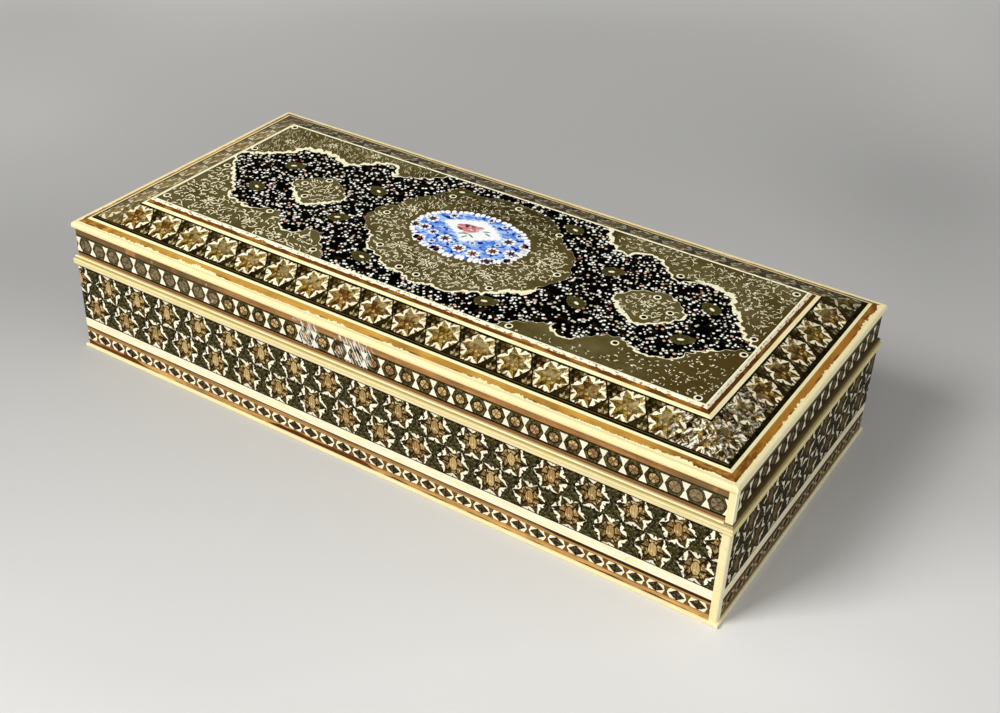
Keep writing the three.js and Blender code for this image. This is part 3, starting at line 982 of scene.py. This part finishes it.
def scalloped(stations, pitch, rise):
    """A line through stations with small lobes on its left: its points, and the width at each.

    A lobe stands out by rise sin(pi t)^2 over its own length, so that it meets the next one flat.
    """
    points, widths = [], []
    for (x0, y0, w0), (x1, y1, w1) in zip(stations[:-1], stations[1:]):
        length = math.hypot(x1 - x0, y1 - y0)
        lobes = max(1, round(length / pitch))
        share = np.linspace(0, 1, lobes * 6, endpoint=False)
        bulge = rise * min(1.0, length / lobes / pitch) * np.sin(np.pi * share * lobes) ** 2
        normal = np.array([-(y1 - y0), x1 - x0]) / length
        line = np.array([x0, y0]) + share[:, None] * np.array([x1 - x0, y1 - y0])
        points.append(line + bulge[:, None] * normal)
        widths.append(w0 + (w1 - w0) * share)
    points.append(np.array([stations[-1][:2]]))
    widths.append(np.array([stations[-1][2]]))
    return np.vstack(points), np.concatenate(widths)


def holds(outline, points):
    """True for each point inside the outline, by counting crossings."""
    inside = np.zeros(len(points), dtype=bool)
    ahead = np.roll(outline, -1, axis=0)
    x, y = points[:, 0], points[:, 1]
    for (x0, y0), (x1, y1) in zip(outline, ahead):
        if y0 == y1:
            continue
        crosses = (y0 > y) != (y1 > y)
        inside ^= crosses & (x < x0 + (y - y0) * (x1 - x0) / (y1 - y0))
    return inside


# Small parts: the lid's corner strip and the hinge screws

STRIP_INSET = 0.8
BAND_INSET = 1.35
STRIP_WIDTH = 2.0
STRIP_BOTTOM = 33.3
STRIP_TOP = 42.65

# From above, the strip is a thin angle round the lid's front right corner
far_x, far_y = HALF_LENGTH - STRIP_INSET, STRIP_INSET - HALF_WIDTH
near_x, near_y = HALF_LENGTH - BAND_INSET, BAND_INSET - HALF_WIDTH
back_x, back_y = far_x - STRIP_WIDTH, far_y + STRIP_WIDTH
strip = [(far_x, back_y), (near_x, back_y), (near_x, near_y)]
strip += [(back_x, near_y), (back_x, far_y), (far_x, far_y)]
add_prisms("lid_corner_strip_front_right", [strip], STRIP_BOTTOM, STRIP_TOP, "cream_bone", "cream_strip")

SCREW_Y = 46.725
SCREW_RADIUS = 0.84
SCREW_SLOT = 0.15
SCREW_PLACES = [hinge + end for hinge in (-68.0, 68.0) for end in (-5.5, 5.5)]


def half_disc(x, y, side):
    """One half of a slotted screw head from above."""
    start = math.asin(SCREW_SLOT / SCREW_RADIUS)
    angle = np.linspace(start, math.pi - start, 11)
    half = np.column_stack([x + SCREW_RADIUS * np.cos(angle), SCREW_RADIUS * np.sin(angle)])
    half[:, 1] = y + half[:, 1] * side
    return half if side > 0 else half[::-1]


def add_screws(name, low, floor_level, face, body):
    """Four screws: each is a disc with two half discs on it, so that a slot is left between them.

    low is the height of the disc's buried end, floor_level of the slot's floor, and face of the head's face.
    """
    points, faces = [], []
    for x in SCREW_PLACES:
        outlines = [(ellipse(x, SCREW_Y, SCREW_RADIUS, SCREW_RADIUS, count=20), low, floor_level)]
        outlines += [(half_disc(x, SCREW_Y, side), floor_level, face) for side in (-1, 1)]
        for outline, start_level, end_level in outlines:
            bottom, top = min(start_level, end_level), max(start_level, end_level)
            part, part_faces = prism(outline, bottom, top, sum(len(p) for p in points))
            points.append(part)
            faces += part_faces
    add_piece(name, np.vstack(points), faces, "brass", body)


add_screws("hinge_screws_base", 31.95, 32.3, 32.58, "base")
add_screws("hinge_screws_lid", 33.45, 33.1, 32.82, "lid")


# Velvet linings: crowned pads on the base's floor and under the lid, and a padded band round the walls


def add_velvet(name, points, faces, body, node):
    """A padded piece made over the CAD's node."""
    piece = add_piece(name, points, faces.tolist(), "velvet", body, smooth=True)
    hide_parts(node)


PAD_COLUMNS = 72
PAD_ROWS = 40


def crowned_pad(name, half_x, half_y, back, face, crown, body, node):
    """A velvet pad, flat at back and swelling at its face.

    height = face + crown (1 - (x/half_x)^4) (1 - (y/half_y)^4) - 0.7 (1 - d/2)^2 within d < 2 of an edge,
    with low waves of a tenth of a millimetre or two in the middle.
    """
    side = 1.0 if face > back else -1.0
    xs = half_x * np.sin(np.linspace(-np.pi / 2, np.pi / 2, PAD_COLUMNS))
    ys = half_y * np.sin(np.linspace(-np.pi / 2, np.pi / 2, PAD_ROWS))
    x, y = [grid.ravel() for grid in np.meshgrid(xs, ys)]
    swell = (1 - (x / half_x) ** 4) * (1 - (y / half_y) ** 4)
    edge = np.minimum(half_x - np.abs(x), half_y - np.abs(y))
    height = crown * swell - 0.7 * np.maximum(0, 1 - edge / 2) ** 2
    waves = np.sin(x / 13 + 1.3 * np.sin(y / 17)) * np.cos(y / 9 + np.sin(x / 23))
    height += 0.16 * swell * waves
    top = np.column_stack([x, y, face + side * height])
    bottom = np.column_stack([x, y, np.full(len(x), back)])
    count = PAD_COLUMNS * PAD_ROWS
    number = np.arange(count).reshape(PAD_ROWS, PAD_COLUMNS)
    cell = quads(number)
    rim = np.concatenate([number[0, :-1], number[:-1, -1], number[-1, :0:-1], number[:0:-1, 0]])
    after = np.roll(rim, -1)
    wall = np.column_stack([rim + count, after + count, after, rim])
    faces = np.vstack([cell, cell[:, ::-1] + count, wall])
    if side < 0:
        faces = faces[:, ::-1]
    add_velvet(name, np.vstack([top, bottom]), faces, body, node)


BAND_LEVELS = 21
BAND_STEPS = 40


def padded_band(name, inset, low, high, thickness, node):
    """A band of velvet round the inside of the walls.

    depth = thickness (0.35 + 0.95 sin(pi h)^0.6) for h from 0 to 1 up the band. It is drawn in towards the
    corners and puffed a little along the walls.
    """
    half_x, half_y = HALF_LENGTH - inset, HALF_WIDTH - inset
    level = (1 - np.cos(np.linspace(0, np.pi, BAND_LEVELS))) / 2
    along = np.linspace(-1, 1, BAND_STEPS + 1)[:-1]
    loops = []
    for corner_x, corner_y, runs_x in ((0, -1, True), (1, 0, False), (0, 1, True), (-1, 0, False)):
        run = half_x if runs_x else half_y
        direction = 1 if (corner_y < 0 or corner_x > 0) else -1
        for share in along:
            drawn = 1 - 0.4 * math.exp(-(((1 - abs(share)) * run / 2.5) ** 2))
            puffed = 1 + 0.1 * math.sin(share * run / 8) + 0.06 * math.sin(share * run / 3.1)
            depth = thickness * (0.35 + 0.95 * np.sin(np.pi * level) ** 0.6 * drawn * puffed)
            depth = np.concatenate([depth, [0.0, 0.0]])
            z = np.concatenate([low + (high - low) * level, [high, low]])
            t = share * direction
            x = t * (half_x - depth) if runs_x else corner_x * (half_x - depth)
            y = corner_y * (half_y - depth) if runs_x else t * (half_y - depth)
            loops.append(np.column_stack([x, y, z]))
    rings, size = len(loops), len(loops[0])
    number = np.arange(rings * size).reshape(rings, size)
    faces = quads(np.pad(number, ((0, 1), (0, 1)), mode="wrap"))
    add_velvet(name, np.vstack(loops), faces, "base", node)


LINING_INSET = 7.9
LINING_HALF = (HALF_LENGTH - LINING_INSET, HALF_WIDTH - LINING_INSET)
crowned_pad("velvet_floor_pad", *LINING_HALF, 4.0, 5.2, 0.9, "base", "base_lining_floor")
crowned_pad("velvet_lid_pad", *LINING_HALF, 39.8, 38.6, 1.1, "lid", "lid_lining")
padded_band("velvet_wall_band", LINING_INSET, 4.25, 31.6, 1.2, "base_lining_band")


# The painting on the lid: x to the right and y to the back, in mm from its middle

rng = np.random.default_rng(SEED)

UPPER_LEFT = [
    (-92.6, 6.6, 0.5), (-89.0, 8.3, 0.7), (-84.1, 11.8, 0.7), (-79.2, 16.4, 0.8), (-77.6, 21.0, 1.1),
    (-71.4, 22.2, 1.1), (-67.9, 22.4, 1.0), (-64.4, 21.4, 1.0), (-59.9, 18.8, 0.8), (-53.9, 24.2, 0.8),
    (-51.1, 27.0, 0.8), (-47.6, 28.8, 0.7), (-44.8, 25.9, 0.4), (-43.0, 21.7, 0.9), (-39.9, 23.1, 0.25),
    (-32.8, 27.3, 0.2), (-27.5, 33.0, 0.3),
]
UPPER_RIGHT = [
    (29.0, 33.0, 0.6), (30.7, 29.4, 0.7), (33.5, 25.2, 0.6), (37.0, 22.4, 0.5), (41.2, 21.3, 0.5),
    (44.7, 25.2, 0.5), (48.9, 25.3, 0.6), (51.8, 23.2, 0.5), (54.6, 20.1, 0.4), (60.2, 15.8, 0.5),
    (63.0, 19.0, 0.6), (66.5, 20.1, 0.8), (70.7, 19.7, 1.0), (76.3, 18.3, 0.9), (77.0, 14.4, 0.6),
    (81.9, 9.5, 0.7), (83.3, 6.1, 0.5), (87.5, 0.6, 0.5), (90.4, -1.5, 0.5), (92.6, -2.3, 0.4),
]
LOWER_RIGHT = [
    (92.6, -4.0, 0.0), (89.0, -4.6, 0.05), (82.6, -9.9, 0.3), (77.7, -14.8, 0.15), (77.0, -18.8, 0.3),
    (72.1, -20.9, 0.3), (69.3, -22.0, 0.5), (65.1, -20.6, 0.4), (60.2, -18.1, 0.12), (56.7, -19.0, 0.0),
    (52.5, -23.2, 0.0), (48.9, -27.3, 0.3), (44.0, -26.0, 0.6), (42.6, -22.7, 0.2), (37.0, -25.4, 0.0),
    (33.5, -27.5, 0.1), (30.7, -30.3, 0.2), (29.0, -33.0, 0.2),
]
LOWER_LEFT = [
    (-28.0, -33.0, 0.1), (-32.8, -26.8, 0.15), (-36.3, -23.2, 0.2), (-37.8, -19.7, 0.0), (-43.5, -20.6, 0.0),
    (-44.4, -23.9, 0.2), (-47.0, -25.3, 0.3), (-50.4, -24.4, 0.35), (-53.2, -20.4, 0.1), (-56.7, -16.9, 0.0),
    (-60.9, -17.3, 0.05), (-64.4, -20.0, 0.3), (-66.5, -20.7, 0.5), (-72.1, -19.0, 0.5), (-76.3, -18.0, 0.6),
    (-76.8, -14.1, 0.45), (-79.2, -12.0, 0.5), (-83.4, -7.1, 0.6), (-87.6, -2.2, 0.5), (-90.7, 2.0, 0.4),
    (-92.4, 4.6, 0.3),
]
OVAL = [
    (0.5, 29.2, 0.0), (6.5, 28.4, 0.0), (12.0, 26.8, 0.0), (16.5, 23.2, 0.0), (20.2, 19.0, 0.0),
    (21.8, 15.6, 0.0), (28.4, 12.2, 0.0), (31.5, 5.0, 0.0), (33.4, 0.0, 0.0), (31.0, -5.6, 0.0),
    (29.0, -9.4, 0.15), (28.4, -13.4, 1.0), (23.0, -15.8, 0.9), (19.6, -19.8, 0.5), (13.4, -23.0, 0.5),
    (9.6, -26.2, 0.5), (4.4, -25.4, 0.6), (-0.8, -27.6, 0.4), (-6.0, -24.9, 0.5), (-12.2, -24.6, 0.45),
    (-16.2, -21.2, 0.3), (-23.2, -18.4, 0.35), (-25.4, -12.6, 0.4), (-30.2, -8.9, 0.1), (-34.0, -4.5, 0.0),
    (-34.0, 3.5, 0.0), (-30.6, 6.6, 0.0), (-29.2, 13.6, 0.0), (-25.6, 18.2, 0.0), (-23.0, 23.4, 0.0),
    (-16.0, 26.0, 0.0), (-10.5, 27.0, 0.0), (-6.0, 28.8, 0.0), (0.5, 29.2, 0.0),
]
LEFT_FIELD = [
    (-66.0, 0.6, 0.1), (-62.0, 6.0, 0.05), (-56.6, 9.2, 0.1), (-50.6, 5.4, 0.05), (-45.8, 0.0, 0.35),
    (-50.0, -5.4, 0.7), (-54.6, -9.7, 0.8), (-60.8, -4.8, 0.6), (-66.0, 0.6, 0.25),
]
RIGHT_FIELD = [
    (48.6, -0.8, 0.3), (52.8, 5.6, 0.2), (60.2, 8.8, 0.15), (66.4, 5.2, 0.15), (70.0, 0.4, 0.45),
    (66.2, -5.2, 0.35), (60.2, -10.0, 0.6), (53.8, -6.0, 0.8), (48.6, -0.8, 0.5),
]

edges = [scalloped(stations, 3.6, 0.8) for stations in (UPPER_LEFT, UPPER_RIGHT, LOWER_RIGHT, LOWER_LEFT)]
cartouche = np.vstack([path for path, width in edges])[::-1]
paint("cartouche", [cartouche], -0.03, 0.02, "black")

fields = [scalloped(stations, 3.6, 0.7) for stations in (OVAL, LEFT_FIELD, RIGHT_FIELD)]
oval, left_field, right_field = [path[:-1][::-1] for path, width in fields]
paint("fields", [oval, left_field, right_field], -0.03, 0.035, "olive")


def worn(widths):
    """Brush widths made uneven from one point to the next."""
    return np.maximum(widths * rng.uniform(0.4, 1.75, len(widths)) - 0.12, 0.01)


lines = [ribbon(path, worn(widths), worn(widths)) for path, widths in edges + fields]
paint("cream_lines", lines, -0.02, 0.05, "cream")

MEDALLION = (-2.05, 3.9, 18.5, 13.1)
RIM_PETALS = 60
medallion = ellipse(*MEDALLION, count=160)
paint("medallion", [medallion], -0.03, 0.05, "blue")

middle_x, middle_y, half_x, half_y = MEDALLION
petals = []
for number in range(RIM_PETALS):
    turn = 2 * math.pi * number / RIM_PETALS + rng.uniform(-0.02, 0.02)
    reach = rng.uniform(0.96, 1.01)
    x = middle_x + half_x * reach * math.cos(turn)
    y = middle_y + half_y * reach * math.sin(turn)
    lean = math.atan2(half_x * math.sin(turn), half_y * math.cos(turn)) + rng.uniform(-0.3, 0.3)
    half_length = rng.uniform(0.8, 1.2) + 0.5 * max(0.0, math.cos(turn + 0.9))
    petals.append(ellipse(x, y, half_length, rng.uniform(0.6, 0.95), turn=lean, count=12))
FLOWERS = [
    (-12.9, 11.6, 1.2), (-17.1, 6.4, 1.7), (-19.0, 0.7, 1.3), (-16.1, 0.8, 1.6), (-12.3, -0.3, 1.3),
    (-7.3, -1.5, 1.8), (-13.7, -5.7, 1.7), (-4.3, -2.5, 0.8), (-0.8, -4.1, 1.8), (4.3, -4.5, 1.8),
    (-6.2, -7.9, 1.6), (8.2, 0.1, 1.7), (9.1, 7.4, 1.8), (13.3, 2.0, 1.8), (7.5, 3.9, 0.8),
    (14.2, 7.7, 1.3), (10.1, -5.7, 1.6), (0.8, 0.7, 0.8), (-2.0, 15.3, 0.9), (3.4, 14.4, 0.9),
    (9.8, 12.2, 0.9), (-9.6, -5.0, 0.9), (14.9, -2.2, 1.2),
]
RED_FLOWERS = (6, 8, 9, 11, 15)
hearts = []
for x, y, size in FLOWERS:
    for turn in around(7):
        far = size * rng.uniform(0.6, 0.74)
        petal = ellipse(x + far * math.cos(turn), y + far * math.sin(turn), size * 0.62, size * 0.46, turn, 9)
        petals.append(petal)
    hearts.append(ellipse(x, y, size * 0.34, size * 0.48, rng.uniform(0.1, 0.6), 10))
paint("petals", petals, 0.02, 0.075, "white")
red_hearts = [hearts[number] for number in RED_FLOWERS]
dark_hearts = [heart for number, heart in enumerate(hearts) if number not in RED_FLOWERS]
paint("flower_hearts", dark_hearts, 0.04, 0.09, "plum")
paint("red_hearts", red_hearts, 0.04, 0.09, "red")

CLOUD = [
    (-13.4, 7.4, 0), (-9.6, 10.4, 0), (-3.3, 13.6, 0), (1.8, 11.2, 0), (6.4, 7.4, 0), (2.2, 4.4, 0),
    (-2.6, 0.0, 0), (-6.6, 3.6, 0), (-13.4, 7.4, 0),
]
halo = scalloped([(-3.2 + (x + 3.2) * 1.1, 7.0 + (y - 7.0) * 1.12, 0) for x, y, width in CLOUD], 2.4, 0.7)[0]
cloud = scalloped(CLOUD, 2.0, 0.6)[0]
paint("halo", [halo[:-1][::-1]], 0.01, 0.06, "sky")
paint("cloud", [cloud[:-1][::-1]], 0.02, 0.07, "white")

ROSE = [
    (-7.4, 8.4, 1.9, 0.7, 0.5), (-5.2, 9.2, 2.0, 0.65, 0.1), (-6.2, 7.0, 1.8, 0.6, 0.3),
    (-3.6, 8.2, 1.5, 0.6, 2.4), (-4.4, 6.2, 1.9, 0.55, 0.2), (-2.4, 9.6, 1.0, 0.5, 0.9),
    (-7.8, 6.4, 0.9, 0.45, 2.6),
]
rose = [ellipse(*petal, 12) for petal in ROSE]
blush = [ellipse(x + 0.7, y - 0.3, a * 1.15, b * 1.5, turn + 0.3, 12) for x, y, a, b, turn in ROSE]
paint("rose_blush", blush, 0.03, 0.075, "blush")
paint("rose", rose, 0.04, 0.085, "rose")
LEAVES = [
    (-5.2, 3.8, 0.6), (-3.4, 2.6, 1.2), (-1.8, 4.0, -0.5),
    (-3.9, 4.4, 0.1), (0.6, 8.6, 0.4), (1.8, 7.4, -0.3),
]
leaves = [ellipse(x, y, 1.2, 0.36, turn, 10) for x, y, turn in LEAVES]
paint("leaves", leaves, 0.05, 0.09, "leaf")

RINGS = [
    (-91.0, 31.4), (-91.0, 11.2), (-89.8, -3.4), (-90.6, -29.6), (-59.0, -19.0), (-34.0, -29.6), (-30.5, 1.3),
    (-20.3, -15.9), (-20.3, 21.8), (0.5, 26.9), (-2.0, -23.6), (-8.4, -22.9), (18.7, -17.8), (30.2, -0.3),
    (19.0, 19.9), (33.5, -31.0), (60.5, -21.6), (89.5, -31.4), (90.7, -6.8), (89.8, 1.6), (90.0, 30.2),
    (59.0, 19.9), (-57.3, 7.4), (-62.3, 1.6), (-57.0, -5.2), (59.0, 5.6), (65.6, 0.2), (60.7, -5.8),
]
RIM_WIDTH = 0.6
rim_lines = []
for sign, at_end in ((1, False), (1, True), (-1, False), (-1, True)):
    outer_x, outer_y = PANEL_HALF[0] * sign, PANEL_HALF[1] * sign
    inner_x, inner_y = outer_x - RIM_WIDTH * sign, outer_y - RIM_WIDTH * sign
    if at_end:
        corners = [(outer_x, -outer_y), (outer_x, outer_y), (inner_x, inner_y), (inner_x, -inner_y)]
    else:
        corners = [(outer_x, outer_y), (-outer_x, outer_y), (-inner_x, inner_y), (inner_x, inner_y)]
    rim_lines.append(np.array(corners))
paint("edge_line", rim_lines, -0.02, 0.04, "cream")

rings = [ellipse(x, y, 1.2, 1.2, 0, 14) for x, y in RINGS]
centres = [ellipse(x + 0.05, y + 0.05, 0.72, 0.72, 0, 12) for x, y in RINGS]
paint("rings", rings, -0.02, 0.06, "cream")
paint("ring_centres", centres, 0.02, 0.075, "ink")

ALMONDS = [
    (-72.8, 9.0, 0.5), (-72.8, -8.9, 2.6), (-40.6, 10.8, 2.6), (-40.6, -9.9, 0.5), (-20.3, -24.6, 2.9),
    (-19.6, 25.8, 0.3), (21.2, 25.6, 2.8), (21.2, -24.2, 0.3), (41.9, 10.4, 0.5), (42.3, -10.3, 2.6),
    (74.2, 8.7, 2.6), (73.9, -9.9, 0.5),
]
almonds, almond_veins, almond_hearts = [], [], []
for x, y, turn in ALMONDS:
    angle = around(36)
    drop = 1 + 0.4 * np.maximum(0, np.cos(angle)) ** 6 + 0.05 * np.sin(angle * 9)
    shape = np.column_stack([2.9 * drop * np.cos(angle), 2.5 * drop * np.sin(angle)])
    cosine, sine = math.cos(turn), math.sin(turn)
    almonds.append(shape @ np.array([[cosine, sine], [-sine, cosine]]) + (x, y))
    for vein in around(11):
        almond_veins.append(ellipse(x + 1.9 * math.cos(vein), y + 1.6 * math.sin(vein), 0.75, 0.13, vein, 8))
    almond_hearts.append(ellipse(x, y, 0.95, 0.5, turn, 12))
paint("almonds", almonds, -0.02, 0.045, "moss")
paint("almond_veins", almond_veins, 0.01, 0.055, "ink")
paint("almond_hearts", almond_hearts, 0.01, 0.06, "cream")


def brush_stroke(x, y, heading, length, curl, half_width):
    """A tapered curl: heading turns by curl radians along its length."""
    share = np.linspace(0, 1, 5)
    heading = heading + curl * share
    path = np.column_stack([np.cumsum(np.cos(heading)), np.cumsum(np.sin(heading))]) * length / 4
    path += (x, y) - path.mean(axis=0)
    return ribbon(path, half_width * (0.35 + 0.65 * np.sin(np.pi * (0.1 + 0.85 * share))))


# The scrolls' spacing, how far they keep off the lines and the rings, and the greatest x and y
STROKE_STEP = 1.45
OFF_LINES = 1.3
OFF_RINGS = 1.9
STROKE_LIMITS = (91.4, 32.0)
grid_x, grid_y = np.meshgrid(np.arange(-91, 92, STROKE_STEP), np.arange(-32, 33, STROKE_STEP))
spots = np.column_stack([grid_x.ravel(), grid_y.ravel()])
spots = spots + rng.uniform(-0.8, 0.8, spots.shape)
outlines = [np.vstack([path for path, width in edges]), *[path for path, width in fields]]
from_each = [np.linalg.norm(spots[:, None] - path[None], axis=2).min(axis=1) for path in outlines]
from_line = np.min(from_each, axis=0)
in_fields = holds(oval, spots) | holds(left_field, spots) | holds(right_field, spots)
on_medallion = holds(ellipse(middle_x, middle_y, 20.6, 15.2, count=60), spots)
near_motif = np.min([np.hypot(spots[:, 0] - x, spots[:, 1] - y) for x, y in RINGS], axis=0) < OFF_RINGS
open_ground = (np.abs(spots) < STROKE_LIMITS).all(axis=1) & ~holds(cartouche, spots)
painted = (open_ground | in_fields) & (from_line > OFF_LINES) & ~on_medallion & ~near_motif

# Scrolls: streaky at the back left, bold at the front left, sparse at the front right, fine elsewhere
strokes, dim_strokes, shadows = [], [], []
for x, y in spots[painted]:
    streaky = x < -20 and y > 4
    bold = x < -20 and y < -6
    sparse = x > 26 and y < -6
    bare = sparse and x < 58
    faint = y > 8 or x > 70 or sparse
    if rng.random() < (0.86 if bare else 0.5 if sparse else 0.2 if faint or bold else 0.0):
        continue
    width = 1.3 if bold else 0.66 if faint else 1.05
    for _ in range(1 if bold else 1 + (rng.random() < 0.45)):
        slanted = rng.random() < (0.85 if streaky else 0.4)
        heading = rng.normal(2.1, 0.25) if slanted else rng.uniform(0, 2 * np.pi)
        place = rng.uniform(-0.5, 0.5, 2) + (x, y)
        curl = rng.choice([-1, 1]) * rng.uniform(0.2, 0.5 if streaky else 2.6)
        length = rng.uniform(0.7, 2.0) * (0.6 if sparse else 1.3 if bold or streaky else 1)
        stroke = brush_stroke(*place, heading, length, curl, rng.uniform(0.08, 0.19) * width)
        (dim_strokes if y > 8 and x < -34 else strokes).append(stroke)
    if rng.random() < (0.95 if bold else 0.7):
        place = rng.uniform(-0.8, 0.8, 2) + (x, y)
        heading = rng.normal(2.1, 0.5)
        shadows.append(brush_stroke(*place, heading, rng.uniform(0.6, 1.8), 0.8, rng.uniform(0.06, 0.15)))
left_strokes = [stroke for stroke in strokes if stroke[0, 0] < 0]
right_strokes = [stroke for stroke in strokes if stroke[0, 0] >= 0]
for name, chosen in (("left", left_strokes), ("right", right_strokes)):
    paint(f"scrolls_{name}", chosen, 0.0, 0.05, "scroll")
paint("scrolls_back", dim_strokes, 0.0, 0.047, "dim_scroll")
paint("scroll_shadows", shadows, 0.0, 0.043, "shadow")

# Each patch of dots: how many, and its least and greatest x, y and size
DOT_PATCHES = [
    (34, (66, -31, 0.2), (89, -12, 0.4)),
    (14, (70, 12, 0.3), (90, 30, 0.6)),
    (10, (-90, -31, 0.2), (-70, -18, 0.35)),
]
dots = [
    ellipse(x, y, size, size * 0.8, 0.6, 9)
    for count, low, high in DOT_PATCHES
    for x, y, size in rng.uniform(low, high, (count, 3))
    if not holds(cartouche, np.array([[x, y]]))[0]
]
paint("small_dots", dots, 0.01, 0.055, "cream")

STAR_FLOWERS = [
    (23.5, 2.0), (14.0, -12.5), (-3.4, -16.6), (-16.0, -12.5), (-26.0, 8.0), (24.0, 9.5), (-78.0, -25.0),
    (-60.0, -27.0), (-48.0, -29.5), (-72.0, 28.0), (-56.0, 30.0), (-85.0, 22.0), (58.2, 0.6),
]
stars = [
    ellipse(x + 1.2 * math.cos(turn), y + 1.2 * math.sin(turn), 0.66, 0.2, turn, 8)
    for x, y in STAR_FLOWERS
    for turn in around(8)
]
paint("star_flowers", stars, 0.01, 0.055, "cream")


# The studio

FLOOR_FLAT = 1.1
FLOOR_RISE = 0.5


def studio_sweep():
    """A round floor that curves up at its edge: height = rise (1 - cos t) for t from 0 to pi / 2."""
    curve = np.linspace(0, np.pi / 2, 17)
    radius = np.concatenate([[0.45, 0.8], FLOOR_FLAT + FLOOR_RISE * np.sin(curve)])
    height = np.concatenate([[0.0, 0.0], FLOOR_RISE * (1 - np.cos(curve))])
    turn = around(96)
    x, y = np.outer(radius, np.cos(turn)), np.outer(radius, np.sin(turn))
    z = np.repeat(height[:, None], len(turn), axis=1)
    points = np.stack([x, y, z], axis=-1).reshape(-1, 3)
    number = np.arange(len(points)).reshape(x.shape)
    rings = quads(np.pad(number, ((0, 0), (0, 1)), mode="wrap").T)
    return points, [number[0].tolist(), *rings.tolist()]


FLOOR_PATCHES = [
    (0.05, 0.17, 0.1, 0.05, -0.13), (0.15, 0.18, 0.05, 0.05, -0.12), (-0.045, 0.155, 0.03, 0.04, -0.1),
    (-0.13, -0.06, 0.03, 0.05, -0.06), (-0.12, 0.086, 0.02, 0.03, 0.06), (0.06, -0.16, 0.045, 0.06, -0.13),
    (0.18, -0.2, 0.05, 0.05, 0.11), (0.31, -0.23, 0.05, 0.06, -0.12), (0.28, 0.225, 0.1, 0.05, 0.14),
    (0.32, 0.0, 0.06, 0.12, -0.09),
]


def floor_colour(tree):
    """Pale grey with painted light and shade: lighter at the front right and at the far back, and painted
    shadow darkens it beside and behind the box.

    FLOOR_PATCHES are soft round patches of painted shadow and light: place back and right of the middle, both
    radii, and the change.
    """
    x, y, _ = [term * MM for term in place_terms(tree)]
    back = x * -0.518 + y * 0.855
    right = x * 0.855 + y * 0.518
    light_and_shade = back * -1.84 + right * 0.5 + back * back * 5.7 - back * right * 2.0 + 0.76
    light_and_shade = least(greatest(light_and_shade, 0.45), 1.06)
    for back_at, right_at, back_width, right_width, change in FLOOR_PATCHES:
        offset = (back - back_at) * (1 / back_width)
        across = (right - right_at) * (1 / right_width)
        light_and_shade = light_and_shade * (calculate("EXPONENT", (offset * offset + across * across) * -1.0) * change + 1.0)
    return shade((222, 221, 218), light_and_shade)


floor_look = make_material("studio_floor", floor_colour, Roughness=0.8, Specular_IOR_Level=0.1)
add_mesh("studio_floor", *studio_sweep(), floor_look, True)

KEY_PLACE = (-0.42, -0.84, 0.9)
key_data = bpy.data.lights.new("key", "AREA")
key_data.shape = "SQUARE"
key_data.size = 0.5
key_data.energy = 13.3
key = add_object("key", key_data)
key.location = KEY_PLACE
key.rotation_euler = (-Vector(KEY_PLACE)).to_track_quat("-Z", "Y").to_euler()

world = bpy.data.worlds.new("studio")
bpy.context.scene.world = world
world.use_nodes = True
# The sky is brighter at the right and the front
background = world.node_tree.nodes["Background"]
sky_x, sky_y, _ = coordinate_terms(world.node_tree, "Generated")
feed(background.inputs["Strength"], sky_x * 0.32 + sky_y * -0.33 + 0.43)
feed(background.inputs["Color"], (255, 255, 255))

# The main view's camera
CAMERA_PLACE = (0.195713, -0.302516, 0.252255)
CAMERA_RIGHT = (0.841596, 0.538835, 0.037043)
CAMERA_UP = (-0.325417, 0.451135, 0.831012)
CAMERA_BACK = (0.431067, -0.711431, 0.555020)
camera_data = bpy.data.cameras.new("camera")
camera_data.lens = 50.761
camera_data.sensor_width = 36.0
camera = add_object("camera", camera_data)
axes = np.array([CAMERA_RIGHT, CAMERA_UP, CAMERA_BACK]).T
place = np.eye(4)
place[:3, :3] = axes
place[:3, 3] = CAMERA_PLACE
camera.matrix_world = Matrix(place.tolist())
bpy.context.scene.camera = camera
bpy.context.scene.view_settings.view_transform = "Standard"
